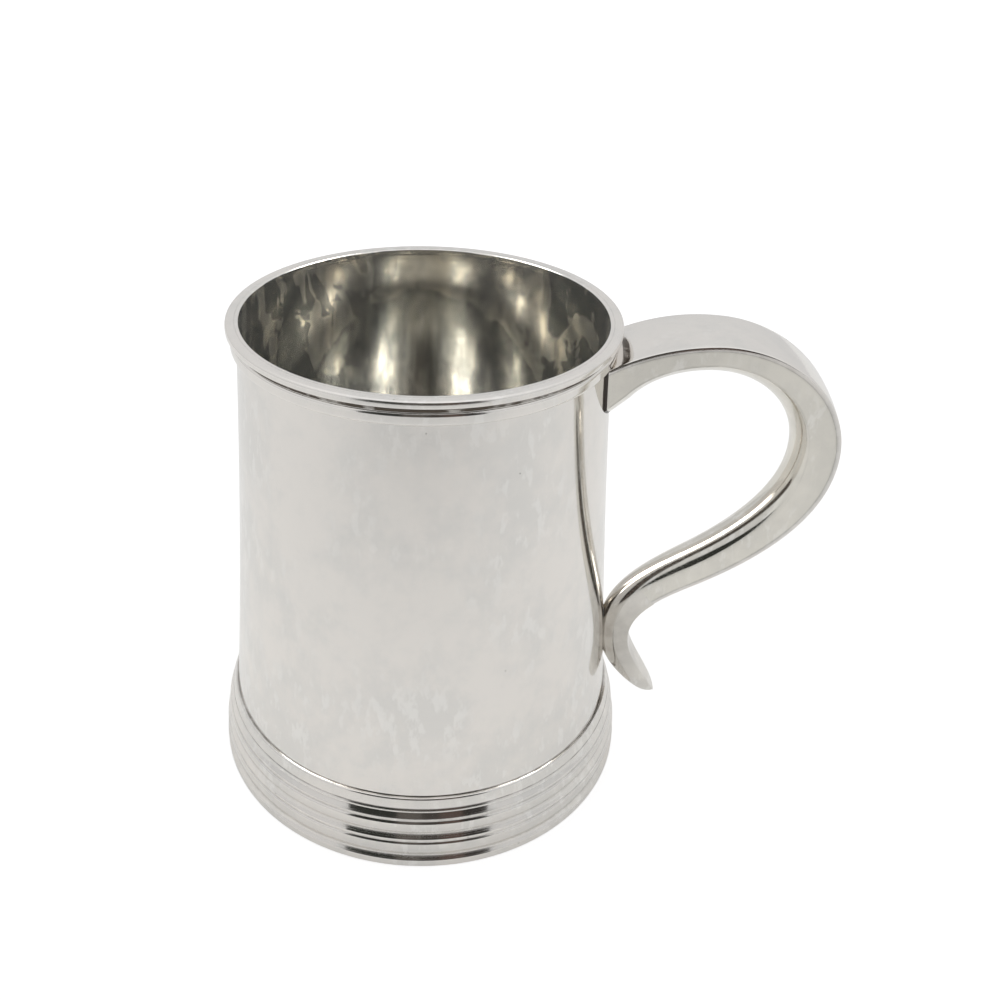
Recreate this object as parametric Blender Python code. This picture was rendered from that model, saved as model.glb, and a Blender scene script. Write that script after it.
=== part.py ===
"""A silver pint tankard: tapered barrel, moulded rim, reeded foot and a hollow scroll handle.

Sizes are in metres. The origin is on the floor under the middle of the whole footprint, +Z runs
up, and the handle stands out along +X from the barrel's axis.
"""

import math
from dataclasses import dataclass, replace

import bmesh
import bpy
from mathutils import Vector

# Overall height and the clearance left at every soldered seam
TANKARD_HEIGHT = 0.1200
SEAM_GAP = 0.0003

# Barrel: a tapered wall of sheet silver, a little hollow in its side, straight at the mouth
BARREL_WALL = 0.0009
BARREL_MOUTH_RADIUS = 0.0409
BARREL_BASE_RADIUS = 0.0512
BARREL_HOLLOW = 0.0007
BARREL_BAND_MARGIN = 0.0001
BARREL_LIFT = 0.0006
LIP_EASE = 0.0003

# Rim moulding: a flat-topped lip over a cove and a bead, each so far proud of the barrel
RIM_HEIGHT = 0.00585
RIM_FACE_HEIGHT = 0.00165
RIM_BEAD_HEIGHT = 0.0031
RIM_BEAD_ROUND = 0.0009
RIM_LIP_STAND = 0.0021
RIM_BEAD_STAND = 0.0013
RIM_COVE_STAND = 0.0009
RIM_EDGE = 0.0003
BEAD_TOP_ANGLE = 55.0

# Foot moulding: plinth, two reeds and a banded third within a swelling line, parted by fillets
FOOT_HEIGHT = 0.0194
FOOT_BASE_STAND = 0.00225
FOOT_TOP_STAND = 0.0009
FOOT_SWELL = 0.0008
FOOT_PLINTH_HEIGHT = 0.0019
FOOT_FILLET_HEIGHT = 0.0007
FOOT_FILLET_DEPTH = 0.0002
FOOT_REED_SHARES = (1.12, 1.0, 1.0)
FOOT_EDGE = 0.0003

# Foot moulding: each reed flares out at its lower end and rounds in at its shoulder
REED_FLARE_HEIGHT = 0.00115
REED_FLARE_DEPTH = 0.0006
REED_FLARE_POWER = 1.25
REED_SHOULDER_HEIGHT = 0.0013
REED_SHOULDER_DEPTH = 0.0005
REED_SHOULDER_POWER = 1.75
BAND_HEIGHT = 0.0026
BAND_DEPTH = 0.00035
BAND_EDGE = 0.00015
BAND_REED_DEPTH = 0.00012
BAND_FLARE_DEPTH = 0.0004

# Base disc: let into the barrel above the foot's underside, with a slight dome
BASE_RECESS = 0.0085
BASE_THICKNESS = 0.0011
BASE_DOME = 0.0008

# Handle: how far its outer face stands off the barrel, or at the tip off the foot
HANDLE_CROWN_STAND = 0.0227
HANDLE_LOOP_STAND = 0.0521
HANDLE_ARM_STAND = 0.02245
HANDLE_TIP_STAND = 0.00925
HANDLE_HEEL_SEAT = 0.0012

# Handle: the joint hangs from the tankard's top, the heel sits above its foot, the rest from these
HANDLE_JOINT_DROP = 0.0060
HANDLE_CROWN_RISE = 0.0060
HANDLE_LOOP_DROP = 0.0215
HANDLE_HEEL_RISE = 0.0176
HANDLE_ARM_RISE = 0.0184
HANDLE_TIP_DROP = 0.0200

# Handle: the way its outer face runs, in degrees above level
HANDLE_JOINT_HEADING = 29.0
HANDLE_CROWN_HEADING = 0.0
HANDLE_LOOP_HEADING = -90.0
HANDLE_ARM_HEADING = -145.0
HANDLE_HEEL_HEADING = -90.0
HANDLE_TIP_HEADING = -68.0

# Handle: widths of the strap and the depths of the D section's side and belly on the way
HANDLE_JOINT_WIDTH = 0.0214
HANDLE_CROWN_WIDTH = 0.0178
HANDLE_LOOP_WIDTH = 0.0117
HANDLE_ARM_WIDTH = 0.0096
HANDLE_HEEL_WIDTH = 0.0082
HANDLE_TIP_WIDTH = 0.0014
HANDLE_JOINT_SIDE = 0.0063
HANDLE_CROWN_SIDE = 0.0045
HANDLE_LOOP_SIDE = 0.0070
HANDLE_ARM_SIDE = 0.0041
HANDLE_HEEL_SIDE = 0.0026
HANDLE_TIP_SIDE = 0.0005
HANDLE_JOINT_FLARE = 0.0019
HANDLE_JOINT_BELLY = 0.0040
HANDLE_CROWN_BELLY = 0.0038
HANDLE_LOOP_BELLY = 0.0032
HANDLE_ARM_BELLY = 0.0047
HANDLE_HEEL_BELLY = 0.0048
HANDLE_TIP_BELLY = 0.0008

# Handle: the power of the belly's curve, which meets the sides in a crease at 2 and roundly at 1
CREASED_BELLY_POWER = 2
ROUND_BELLY_POWER = 1
JOINT_FLARE_POWER = 5

# Handle: sheet thicknesses and the small features of its pieces
STRAP_THICKNESS = 0.0010
STRAP_CROWN = 0.0004
STRAP_EDGE = 0.0003
CHANNEL_WALL = 0.0009
END_PLATE_THICKNESS = 0.0008
TERMINAL_RISE = 0.0110
SPIGOT_LENGTH = 0.0030
VENT_DIAMETER = 0.0016
VENT_SHARE = 0.45

# How finely the round forms are divided
TURN_SEGMENTS = 72
SIDE_STEPS = 8
FLARE_STEPS = 2
REED_STEPS = 3
COVE_STEPS = 3
DOME_STEPS = 4
SPAN_STEPS = 12
BELLY_STEPS = 8
STRAP_STEPS = 4
VENT_SIDES = 12
HALVINGS = 30
LEAST_STEP_SHARE = 1 / 3
MERGE_DISTANCE = 0.000001
SHARP_ANGLE = 32.0

# Sizes that follow from the ones above
BARREL_TOP_RADIUS = BARREL_MOUTH_RADIUS + BARREL_WALL
BARREL_SHOULDER = TANKARD_HEIGHT - RIM_HEIGHT - BARREL_BAND_MARGIN
RIM_RADIUS = BARREL_TOP_RADIUS + RIM_LIP_STAND
FOOT_BASE_RADIUS = BARREL_BASE_RADIUS + FOOT_BASE_STAND
HANDLE_LOOP_REACH = BARREL_TOP_RADIUS + HANDLE_LOOP_STAND
HANDLE_JOINT_HEIGHT = TANKARD_HEIGHT - HANDLE_JOINT_DROP
HANDLE_HEEL_HEIGHT = FOOT_HEIGHT + HANDLE_HEEL_RISE
HANDLE_BACK_RUN = HANDLE_JOINT_WIDTH / 2
AXIS_PLACE = (FOOT_BASE_RADIUS - HANDLE_LOOP_REACH) / 2

# The handle's stations are numbered from the upper joint; these are the ones named below
CROWN_NUMBER = 1
LOOP_NUMBER = 2
HEEL_NUMBER = 4
TIP_NUMBER = 5


def clear_scene():
    """Remove every object of the open file."""
    for item in list(bpy.data.objects):
        bpy.data.objects.remove(item, do_unlink=True)


def silver(name, colour, roughness):
    """Return a polished metal material."""
    material = bpy.data.materials.new(name)
    material.use_nodes = True
    shader = material.node_tree.nodes["Principled BSDF"]
    shader.inputs["Base Color"].default_value = (*colour, 1.0)
    shader.inputs["Metallic"].default_value = 1.0
    shader.inputs["Roughness"].default_value = roughness
    material.diffuse_color = (*colour, 1.0)
    return material


def add_object(name, shape, material):
    """Turn a bmesh made about the barrel's axis into a smooth-shaded object in its place."""
    bmesh.ops.remove_doubles(shape, verts=shape.verts, dist=MERGE_DISTANCE)
    bmesh.ops.recalc_face_normals(shape, faces=shape.faces)
    mesh = bpy.data.meshes.new(name)
    shape.to_mesh(mesh)
    shape.free()
    mesh.shade_smooth()
    mesh.set_sharp_from_angle(angle=math.radians(SHARP_ANGLE))
    if material:
        mesh.materials.append(material)
    item = bpy.data.objects.new(name, mesh)
    item.location.x = AXIS_PLACE
    bpy.context.scene.collection.objects.link(item)
    return item


def turned(name, outline, material, closed=True):
    """Spin an outline of (radius, height) points about the tankard's axis.

    A closed outline makes a ring. An open one starts and ends on the axis and makes a solid.
    """
    shape = bmesh.new()
    points = [shape.verts.new((radius, 0.0, height)) for radius, height in outline]
    following = points[1:] + points[:1] if closed else points[1:]
    edges = [shape.edges.new(pair) for pair in zip(points, following)]
    bmesh.ops.spin(
        shape,
        geom=points + edges,
        cent=(0.0, 0.0, 0.0),
        axis=(0.0, 0.0, 1.0),
        angle=math.tau,
        steps=TURN_SEGMENTS,
        use_merge=True,
    )
    return add_object(name, shape, material)


def lofted(name, rings, material):
    """Skin a row of closed rings, all with as many points, and cap both ends."""
    shape = bmesh.new()
    loops = []
    for ring in rings:
        points = [shape.verts.new(point) for point in ring]
        loops.append([shape.edges.new((a, b)) for a, b in zip(points, points[1:] + points[:1])])
        if ring is rings[0] or ring is rings[-1]:
            shape.faces.new(points)
    for near, far in zip(loops, loops[1:]):
        bmesh.ops.bridge_loops(shape, edges=near + far)
    return add_object(name, shape, material)


def as_cutter(item):
    """Hide a helper object that only cuts others."""
    item.hide_render = True
    item.display_type = "WIRE"
    return item


def cut(item, cutter, operation="DIFFERENCE"):
    """Give the object an exact Boolean with the cutter."""
    modifier = item.modifiers.new(f"{operation.lower()}_{cutter.name}", "BOOLEAN")
    modifier.operation = operation
    modifier.solver = "EXACT"
    modifier.object = cutter


def arc_points(centre, radii, start, end, steps):
    """Return points along an elliptic arc, angles in degrees."""
    points = []
    for step in range(steps + 1):
        angle = math.radians(start + (end - start) * step / steps)
        points.append((centre[0] + radii[0] * math.cos(angle), centre[1] + radii[1] * math.sin(angle)))
    return points


# Barrel


def barrel_outside(height):
    """Return the barrel's outer radius, which narrows upwards in a slightly hollow line."""
    if height >= BARREL_SHOULDER:
        return BARREL_TOP_RADIUS
    share = height / BARREL_SHOULDER
    chord = BARREL_BASE_RADIUS + (BARREL_TOP_RADIUS - BARREL_BASE_RADIUS) * share
    return chord - 4 * BARREL_HOLLOW * share * (1 - share)


def barrel_heights():
    """Return the heights at which the barrel's side is divided, bottom to shoulder."""
    run = BARREL_SHOULDER - BARREL_LIFT
    return [BARREL_LIFT + run * step / SIDE_STEPS for step in range(SIDE_STEPS + 1)]


def barrel(material):
    """The open tapered wall, with its mouth drawn straight and its lip eased."""
    outside = [(barrel_outside(height), height) for height in barrel_heights()]
    inside = [(radius - BARREL_WALL, height) for radius, height in outside]
    lip = [
        (BARREL_TOP_RADIUS, TANKARD_HEIGHT),
        (BARREL_MOUTH_RADIUS + LIP_EASE, TANKARD_HEIGHT),
        (BARREL_MOUTH_RADIUS, TANKARD_HEIGHT - LIP_EASE),
    ]
    return turned("barrel", outside + lip + inside[::-1], material)


def base_disc(material):
    """The let-in bottom, domed a little upwards so that it cannot sag."""
    rim = barrel_outside(BASE_RECESS) - BARREL_WALL - SEAM_GAP
    lower = []
    for step in range(DOME_STEPS + 1):
        share = step / DOME_STEPS
        rise = BASE_DOME * math.cos(share * math.pi / 2) ** 2
        lower.append((rim * share, BASE_RECESS + rise))
    upper = [(radius, height + BASE_THICKNESS) for radius, height in lower]
    return turned("base_disc", lower + upper[::-1], material, closed=False)


# Mouldings


def rim_outline(grow):
    """Return the rim moulding's outline, swelled outwards by a clearance."""
    top = TANKARD_HEIGHT
    bottom = top - RIM_HEIGHT
    inner = BARREL_TOP_RADIUS + SEAM_GAP
    bead_middle = BARREL_TOP_RADIUS + RIM_BEAD_STAND - RIM_BEAD_ROUND + grow
    bead_low = bottom + RIM_BEAD_ROUND
    bead_high = bottom + RIM_BEAD_HEIGHT - RIM_BEAD_ROUND
    bead_radii = (RIM_BEAD_ROUND, RIM_BEAD_ROUND + grow)
    cove = BARREL_TOP_RADIUS + RIM_COVE_STAND + grow
    cove_bottom = bottom + RIM_BEAD_HEIGHT
    cove_top = top - RIM_FACE_HEIGHT
    lower_bead = arc_points((bead_middle, bead_low), bead_radii, -90, 0, COVE_STEPS)
    upper_bead = arc_points((bead_middle, bead_high), bead_radii, 0, BEAD_TOP_ANGLE, COVE_STEPS - 1)
    hollow = [
        (cove, cove_bottom),
        (cove, (cove_bottom + cove_top) / 2),
        (RIM_RADIUS - RIM_EDGE + grow, cove_top - grow),
    ]
    face = [
        (RIM_RADIUS + grow, cove_top + RIM_EDGE - grow),
        (RIM_RADIUS + grow, top - RIM_EDGE + grow),
        (RIM_RADIUS - RIM_EDGE + grow, top + grow),
    ]
    back = [(inner, top + grow), (inner, bottom - grow)]
    return lower_bead + upper_bead + hollow + face + back


def rim_moulding(material):
    """The wire soldered round the mouth: flat lip, cove and bead."""
    return turned("rim_moulding", rim_outline(0.0), material)


def foot_line(height):
    """Return the radius that the foot's reeds touch at a height."""
    top_radius = barrel_outside(FOOT_HEIGHT) + FOOT_TOP_STAND
    share = height / FOOT_HEIGHT
    chord = FOOT_BASE_RADIUS + (top_radius - FOOT_BASE_RADIUS) * share
    return chord + 4 * FOOT_SWELL * share * (1 - share)


def reed_points(low, high, edge_depth, flare_depth, crest_depth, shoulder_depth):
    """Return a reed's points in rising order: its flare, its round body and its shoulder.

    Depths are measured inwards from the foot's line: at the flare's lower edge and its top, at
    the fullest part of the body and at the shoulder's end.
    """
    flare_top = low + REED_FLARE_HEIGHT
    body_top = high - REED_SHOULDER_HEIGHT
    points = []
    for step in range(FLARE_STEPS + 1):
        down = 1 - step / FLARE_STEPS
        depth = flare_depth - (flare_depth - edge_depth) * down**REED_FLARE_POWER
        points.append((low + REED_FLARE_HEIGHT * (1 - down), depth))
    for step in range(1, REED_STEPS + 1):
        down = 1 - step / REED_STEPS
        depth = crest_depth + (flare_depth - crest_depth) * down**2
        points.append((flare_top + (body_top - flare_top) * (1 - down), depth))
    for step in range(1, REED_STEPS + 1):
        share = step / REED_STEPS
        depth = crest_depth + (shoulder_depth - crest_depth) * share**REED_SHOULDER_POWER
        points.append((body_top + REED_SHOULDER_HEIGHT * share, depth))
    return [(foot_line(height) - depth, height) for height, depth in points]


def foot_outline():
    """Return the foot's outline: plinth, reeds with a fillet over each, and the band at the top."""
    outline = [(FOOT_BASE_RADIUS - FOOT_EDGE, 0.0), (FOOT_BASE_RADIUS, FOOT_EDGE)]
    room = FOOT_HEIGHT - FOOT_PLINTH_HEIGHT - FOOT_FILLET_HEIGHT * (len(FOOT_REED_SHARES) - 1)
    low = FOOT_PLINTH_HEIGHT
    edge_depth = 0.0
    for share in FOOT_REED_SHARES[:-1]:
        high = low + room * share / sum(FOOT_REED_SHARES)
        outline += reed_points(low, high, edge_depth, REED_FLARE_DEPTH, 0.0, REED_SHOULDER_DEPTH)
        edge_depth = FOOT_FILLET_DEPTH
        outline.append((foot_line(high) - edge_depth, high))
        low = high + FOOT_FILLET_HEIGHT
    high = FOOT_HEIGHT - BAND_HEIGHT
    outline += reed_points(low, high, edge_depth, BAND_FLARE_DEPTH, BAND_REED_DEPTH, BAND_DEPTH)
    band_radius = foot_line(FOOT_HEIGHT) - BAND_DEPTH
    outline.append((band_radius, FOOT_HEIGHT - BAND_EDGE))
    outline.append((band_radius - BAND_EDGE, FOOT_HEIGHT))
    return outline


def foot_moulding(material):
    """The reeded band on which the tankard stands, fitted round the barrel's skirt."""
    back = []
    for step in range(COVE_STEPS + 1):
        height = FOOT_HEIGHT * (1 - step / COVE_STEPS)
        back.append((barrel_outside(height) + SEAM_GAP, height))
    return turned("foot_moulding", foot_outline() + back, material)


# Handle


@dataclass
class Station:
    """A named place on the handle: where its outer face passes and the section there."""

    reach: float
    height: float
    heading: float
    width: float
    side: float
    belly: float
    crease: float

    def place(self):
        """Return the point of the outer face."""
        return Vector((self.reach, self.height))

    def direction(self):
        """Return the unit vector along which the outer face runs."""
        angle = math.radians(self.heading)
        return Vector((math.cos(angle), math.sin(angle)))


@dataclass
class Section:
    """The D section cut square across the handle at one point of its outer face."""

    origin: Vector
    along: Vector
    width: float
    side: float
    belly: float
    crease: float

    def point(self, across, depth):
        """Return the world point at a place across the strap and a depth under its face."""
        inward = Vector((self.along.y, -self.along.x))
        flat = self.origin + inward * depth
        return (flat.x, across, flat.y)

    def shifted(self, distance):
        """Return the same section moved straight along the handle."""
        return replace(self, origin=self.origin + self.along * distance)

    def belly_line(self, inset):
        """Return the belly's points from one side to the other, drawn in by a wall."""
        half = self.width / 2 - inset
        rise = self.belly
        points = []
        for step in range(BELLY_STEPS + 1):
            angle = math.pi * step / BELLY_STEPS
            depth = self.side - inset + rise * math.sin(angle) ** self.crease
            points.append((-half * math.cos(angle), depth))
        return points

    def strap_line(self, half):
        """Return the crowned outer face's points from one eased edge to the other."""
        points = [(half, STRAP_EDGE)]
        flat = half - STRAP_EDGE
        for step in range(STRAP_STEPS + 1):
            across = 1 - 2 * step / STRAP_STEPS
            points.append((flat * across, -STRAP_CROWN * (self.width / HANDLE_JOINT_WIDTH) * (1 - across**2)))
        points.append((-half, STRAP_EDGE))
        return points


def handle_stations():
    """Return the six stations from the upper joint to the tip of the tongue."""
    arm_height = HANDLE_HEEL_HEIGHT + HANDLE_ARM_RISE
    heel_depth = HANDLE_HEEL_SIDE + HANDLE_HEEL_BELLY
    return [
        Station(
            BARREL_TOP_RADIUS,
            HANDLE_JOINT_HEIGHT,
            HANDLE_JOINT_HEADING,
            HANDLE_JOINT_WIDTH,
            HANDLE_JOINT_SIDE,
            HANDLE_JOINT_BELLY,
            CREASED_BELLY_POWER,
        ),
        Station(
            BARREL_TOP_RADIUS + HANDLE_CROWN_STAND,
            HANDLE_JOINT_HEIGHT + HANDLE_CROWN_RISE,
            HANDLE_CROWN_HEADING,
            HANDLE_CROWN_WIDTH,
            HANDLE_CROWN_SIDE,
            HANDLE_CROWN_BELLY,
            CREASED_BELLY_POWER,
        ),
        Station(
            HANDLE_LOOP_REACH,
            HANDLE_JOINT_HEIGHT - HANDLE_LOOP_DROP,
            HANDLE_LOOP_HEADING,
            HANDLE_LOOP_WIDTH,
            HANDLE_LOOP_SIDE,
            HANDLE_LOOP_BELLY,
            (CREASED_BELLY_POWER + ROUND_BELLY_POWER) / 2,
        ),
        Station(
            barrel_outside(arm_height) + HANDLE_ARM_STAND,
            arm_height,
            HANDLE_ARM_HEADING,
            HANDLE_ARM_WIDTH,
            HANDLE_ARM_SIDE,
            HANDLE_ARM_BELLY,
            ROUND_BELLY_POWER,
        ),
        Station(
            barrel_outside(HANDLE_HEEL_HEIGHT) - HANDLE_HEEL_SEAT + heel_depth,
            HANDLE_HEEL_HEIGHT,
            HANDLE_HEEL_HEADING,
            HANDLE_HEEL_WIDTH,
            HANDLE_HEEL_SIDE,
            HANDLE_HEEL_BELLY,
            ROUND_BELLY_POWER,
        ),
        Station(
            FOOT_BASE_RADIUS + HANDLE_TIP_STAND,
            HANDLE_HEEL_HEIGHT - HANDLE_TIP_DROP,
            HANDLE_TIP_HEADING,
            HANDLE_TIP_WIDTH,
            HANDLE_TIP_SIDE,
            HANDLE_TIP_BELLY,
            ROUND_BELLY_POWER,
        ),
    ]


def span_point(start, end, share):
    """Return place and direction on the arc-like cubic between two stations."""
    turn = math.radians(abs(end.heading - start.heading))
    chord = (end.place() - start.place()).length
    lead = chord / (3 * math.cos(turn / 4) ** 2)
    knots = [
        start.place(),
        start.place() + start.direction() * lead,
        end.place() - end.direction() * lead,
        end.place(),
    ]
    rest = 1 - share
    place = (
        knots[0] * rest**3
        + knots[1] * 3 * rest**2 * share
        + knots[2] * 3 * rest * share**2
        + knots[3] * share**3
    )
    slope = (
        (knots[1] - knots[0]) * rest**2
        + (knots[2] - knots[1]) * 2 * rest * share
        + (knots[3] - knots[2]) * share**2
    )
    return place, slope.normalized()


def eased(values, number, share):
    """Blend from one station's value to the next, with slopes that the neighbours agree on."""
    low = values[number]
    high = values[number + 1]
    slope_in = (high - values[number - 1]) / 2 if number else high - low
    slope_out = (values[number + 2] - low) / 2 if number + 2 < len(values) else high - low
    rest = 1 - share
    return (
        low * rest**2 * (1 + 2 * share)
        + high * share**2 * (3 - 2 * share)
        + slope_in * share * rest**2
        - slope_out * share**2 * rest
    )


def leaf_taper(high, low, share):
    """Narrow from the heel to the tip along the outline of a leaf."""
    return low + (high - low) * math.sqrt(max(0.0, 1 - share**2))


def handle_section(position):
    """Return the section at a position: its whole part numbers the span, the rest is the share."""
    stations = handle_stations()
    number = min(int(position), HEEL_NUMBER)
    share = position - number
    place, along = span_point(stations[number], stations[number + 1], share)
    sizes = {}
    for field in ("width", "side", "belly", "crease"):
        values = [getattr(station, field) for station in stations]
        if number == HEEL_NUMBER:
            sizes[field] = leaf_taper(values[HEEL_NUMBER], values[TIP_NUMBER], share)
        else:
            sizes[field] = eased(values[:TIP_NUMBER], number, share)
    if number < CROWN_NUMBER:
        sizes["side"] += HANDLE_JOINT_FLARE * (1 - share) ** JOINT_FLARE_POWER
    return Section(place, along, **sizes)


def terminal_position():
    """Return the position on the lower arm at which the solid terminal starts."""
    low = float(LOOP_NUMBER)
    high = float(HEEL_NUMBER)
    for _ in range(HALVINGS):
        middle = (low + high) / 2
        if handle_section(middle).origin.y > HANDLE_HEEL_HEIGHT + TERMINAL_RISE:
            low = middle
        else:
            high = middle
    return low


def handle_run(first, last):
    """Return the sections between two positions, both ends included."""
    steps = range(math.floor(first * SPAN_STEPS) + 1, math.ceil(last * SPAN_STEPS))
    positions = [step / SPAN_STEPS for step in steps]
    apart = LEAST_STEP_SHARE / SPAN_STEPS
    kept = [position for position in positions if first + apart < position < last - apart]
    return [handle_section(position) for position in [first] + kept + [last]]


def strap_ring(section):
    """Return the flat outer plate's ring at a section."""
    half = section.width / 2
    line = section.strap_line(half) + [(-half, STRAP_THICKNESS), (half, STRAP_THICKNESS)]
    return [section.point(across, depth) for across, depth in line]


def channel_ring(section):
    """Return the U-shaped channel's ring at a section, open towards the strap."""
    edge = STRAP_THICKNESS + SEAM_GAP
    half = section.width / 2
    outer = [(-half, edge)] + section.belly_line(0.0) + [(half, edge)]
    inner = [(-half + CHANNEL_WALL, edge)] + section.belly_line(CHANNEL_WALL) + [(half - CHANNEL_WALL, edge)]
    return [section.point(across, depth) for across, depth in outer + inner[::-1]]


def solid_ring(section):
    """Return the whole D section's ring."""
    line = section.strap_line(section.width / 2) + section.belly_line(0.0)
    return [section.point(across, depth) for across, depth in line]


def spigot_ring(section):
    """Return the ring that fits the channel's hollow, under the strap, with a seam's gap all round."""
    inset = CHANNEL_WALL + SEAM_GAP
    half = section.width / 2 - inset
    top = STRAP_THICKNESS + SEAM_GAP
    line = [(across, top) for across, _ in section.strap_line(half)] + section.belly_line(inset)
    return [section.point(across, depth) for across, depth in line]


def backed(run):
    """Carry a run that starts at the upper joint straight back into the barrel."""
    return [run[0].shifted(-HANDLE_BACK_RUN)] + run


def hollow_run():
    """Return the sections of the handle's hollow part, from inside the barrel to the terminal."""
    return backed(handle_run(0.0, terminal_position()))


def handle_strap(material):
    """The crowned outer plate of the hollow handle."""
    return lofted("handle_strap", [strap_ring(section) for section in hollow_run()], material)


def handle_channel(material):
    """The U-shaped sides and belly of the hollow handle."""
    return lofted("handle_channel", [channel_ring(section) for section in hollow_run()], material)


def handle_end_plate(material):
    """The thin saddle that closes the handle's upper end against the barrel."""
    stub = backed(handle_run(0.0, CROWN_NUMBER))
    return lofted("handle_end_plate", [solid_ring(section) for section in stub], material)


def handle_terminal(material):
    """The solid heel and tongue, with a spigot that plugs the channel's hollow."""
    start = terminal_position()
    run = handle_run(start, TIP_NUMBER)
    root = run[0].shifted(SEAM_GAP)
    rings = [spigot_ring(root.shifted(-SPIGOT_LENGTH)), spigot_ring(root), solid_ring(root)]
    rings += [solid_ring(section) for section in run[1:]]
    return lofted("handle_terminal", rings[::-1], material)


def barrel_plug(name, grow):
    """A helper solid of the barrel and its rim moulding, swelled by a distance."""
    side = [(barrel_outside(height) + grow, height) for height in barrel_heights()]
    rim = [(max(radius, BARREL_TOP_RADIUS + grow), height) for radius, height in rim_outline(SEAM_GAP)[:-2]]
    top = [(0.0, TANKARD_HEIGHT + SEAM_GAP)]
    return turned(name, [(0.0, BARREL_LIFT)] + side[:-1] + rim + top, None, closed=False)


def plate_plug(grow):
    """A helper solid of the barrel below its rim moulding, swelled to the end plate's outer face."""
    side = [(barrel_outside(height) + grow, height) for height in barrel_heights()]
    brim = TANKARD_HEIGHT - RIM_HEIGHT - 2 * SEAM_GAP
    top = [(BARREL_TOP_RADIUS + grow, brim), (0.0, brim)]
    return turned("plate_plug", [(0.0, BARREL_LIFT)] + side[:-1] + top, None, closed=False)


def vent_drill():
    """A helper rod that drills the vent up through the channel's belly near the upper joint."""
    shape = bmesh.new()
    bmesh.ops.create_cone(
        shape,
        cap_ends=True,
        segments=VENT_SIDES,
        radius1=VENT_DIAMETER / 2,
        radius2=VENT_DIAMETER / 2,
        depth=HANDLE_JOINT_SIDE + HANDLE_JOINT_BELLY,
    )
    section = handle_section(VENT_SHARE * CROWN_NUMBER)
    centre = section.point(0.0, section.side + section.belly)
    bmesh.ops.translate(shape, verts=shape.verts, vec=centre)
    return add_object("vent_drill", shape, None)


def build():
    """Model every piece, then trim the handle to the barrel."""
    clear_scene()
    barrel(silver("silver_barrel", (0.86, 0.85, 0.83), 0.08))
    base_disc(silver("silver_base", (0.70, 0.67, 0.62), 0.28))
    rim_moulding(silver("silver_rim", (0.88, 0.87, 0.85), 0.10))
    foot_moulding(silver("silver_foot", (0.86, 0.85, 0.83), 0.09))

    strap = handle_strap(silver("silver_strap", (0.87, 0.86, 0.84), 0.09))
    channel = handle_channel(silver("silver_channel", (0.85, 0.83, 0.79), 0.10))
    plate = handle_end_plate(silver("silver_end_plate", (0.84, 0.82, 0.78), 0.14))
    terminal = handle_terminal(silver("silver_terminal", (0.86, 0.85, 0.82), 0.09))

    wall_plug = as_cutter(barrel_plug("wall_plug", SEAM_GAP))
    outer_plug = as_cutter(plate_plug(SEAM_GAP + END_PLATE_THICKNESS))
    handle_plug = as_cutter(barrel_plug("handle_plug", SEAM_GAP + END_PLATE_THICKNESS + SEAM_GAP))
    cut(strap, handle_plug)
    cut(channel, handle_plug)
    cut(channel, as_cutter(vent_drill()))
    cut(plate, outer_plug, "INTERSECT")
    cut(plate, wall_plug)
    cut(terminal, wall_plug)


build()
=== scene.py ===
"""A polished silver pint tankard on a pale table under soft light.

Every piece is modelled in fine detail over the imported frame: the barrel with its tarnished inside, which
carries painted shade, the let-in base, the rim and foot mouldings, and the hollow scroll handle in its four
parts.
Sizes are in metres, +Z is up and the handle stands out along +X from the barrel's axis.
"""

from __future__ import annotations

import logging
import math
from dataclasses import dataclass, field, replace
from enum import Enum
from typing import Callable, NamedTuple, Sequence

import bmesh
import bpy
from mathutils import Matrix, Vector

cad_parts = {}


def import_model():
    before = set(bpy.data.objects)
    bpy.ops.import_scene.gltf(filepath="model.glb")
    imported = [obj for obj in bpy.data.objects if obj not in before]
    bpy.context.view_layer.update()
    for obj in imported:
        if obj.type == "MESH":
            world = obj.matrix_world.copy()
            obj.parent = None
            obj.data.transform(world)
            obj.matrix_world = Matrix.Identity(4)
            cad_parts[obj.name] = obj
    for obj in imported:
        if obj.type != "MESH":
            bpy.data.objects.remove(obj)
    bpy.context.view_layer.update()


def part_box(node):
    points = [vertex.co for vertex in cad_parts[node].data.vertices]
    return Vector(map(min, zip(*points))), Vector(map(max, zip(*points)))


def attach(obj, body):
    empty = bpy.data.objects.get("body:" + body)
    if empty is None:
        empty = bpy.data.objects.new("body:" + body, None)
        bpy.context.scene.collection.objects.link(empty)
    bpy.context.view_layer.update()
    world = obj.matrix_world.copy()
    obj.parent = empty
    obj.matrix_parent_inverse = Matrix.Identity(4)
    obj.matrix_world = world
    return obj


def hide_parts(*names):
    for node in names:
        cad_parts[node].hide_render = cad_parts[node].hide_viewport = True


LOG = logging.getLogger("tankard")
BODY = "root"
SEAM = 0.00003
MERGE = 0.0000005
SAME_EASE = 1e-7
SAME_PLACE = 1e-6
SHARP_ANGLE = 40.0

Socket = bpy.types.NodeSocket
Triple = tuple[float, float, float]


# Shader wiring


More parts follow.
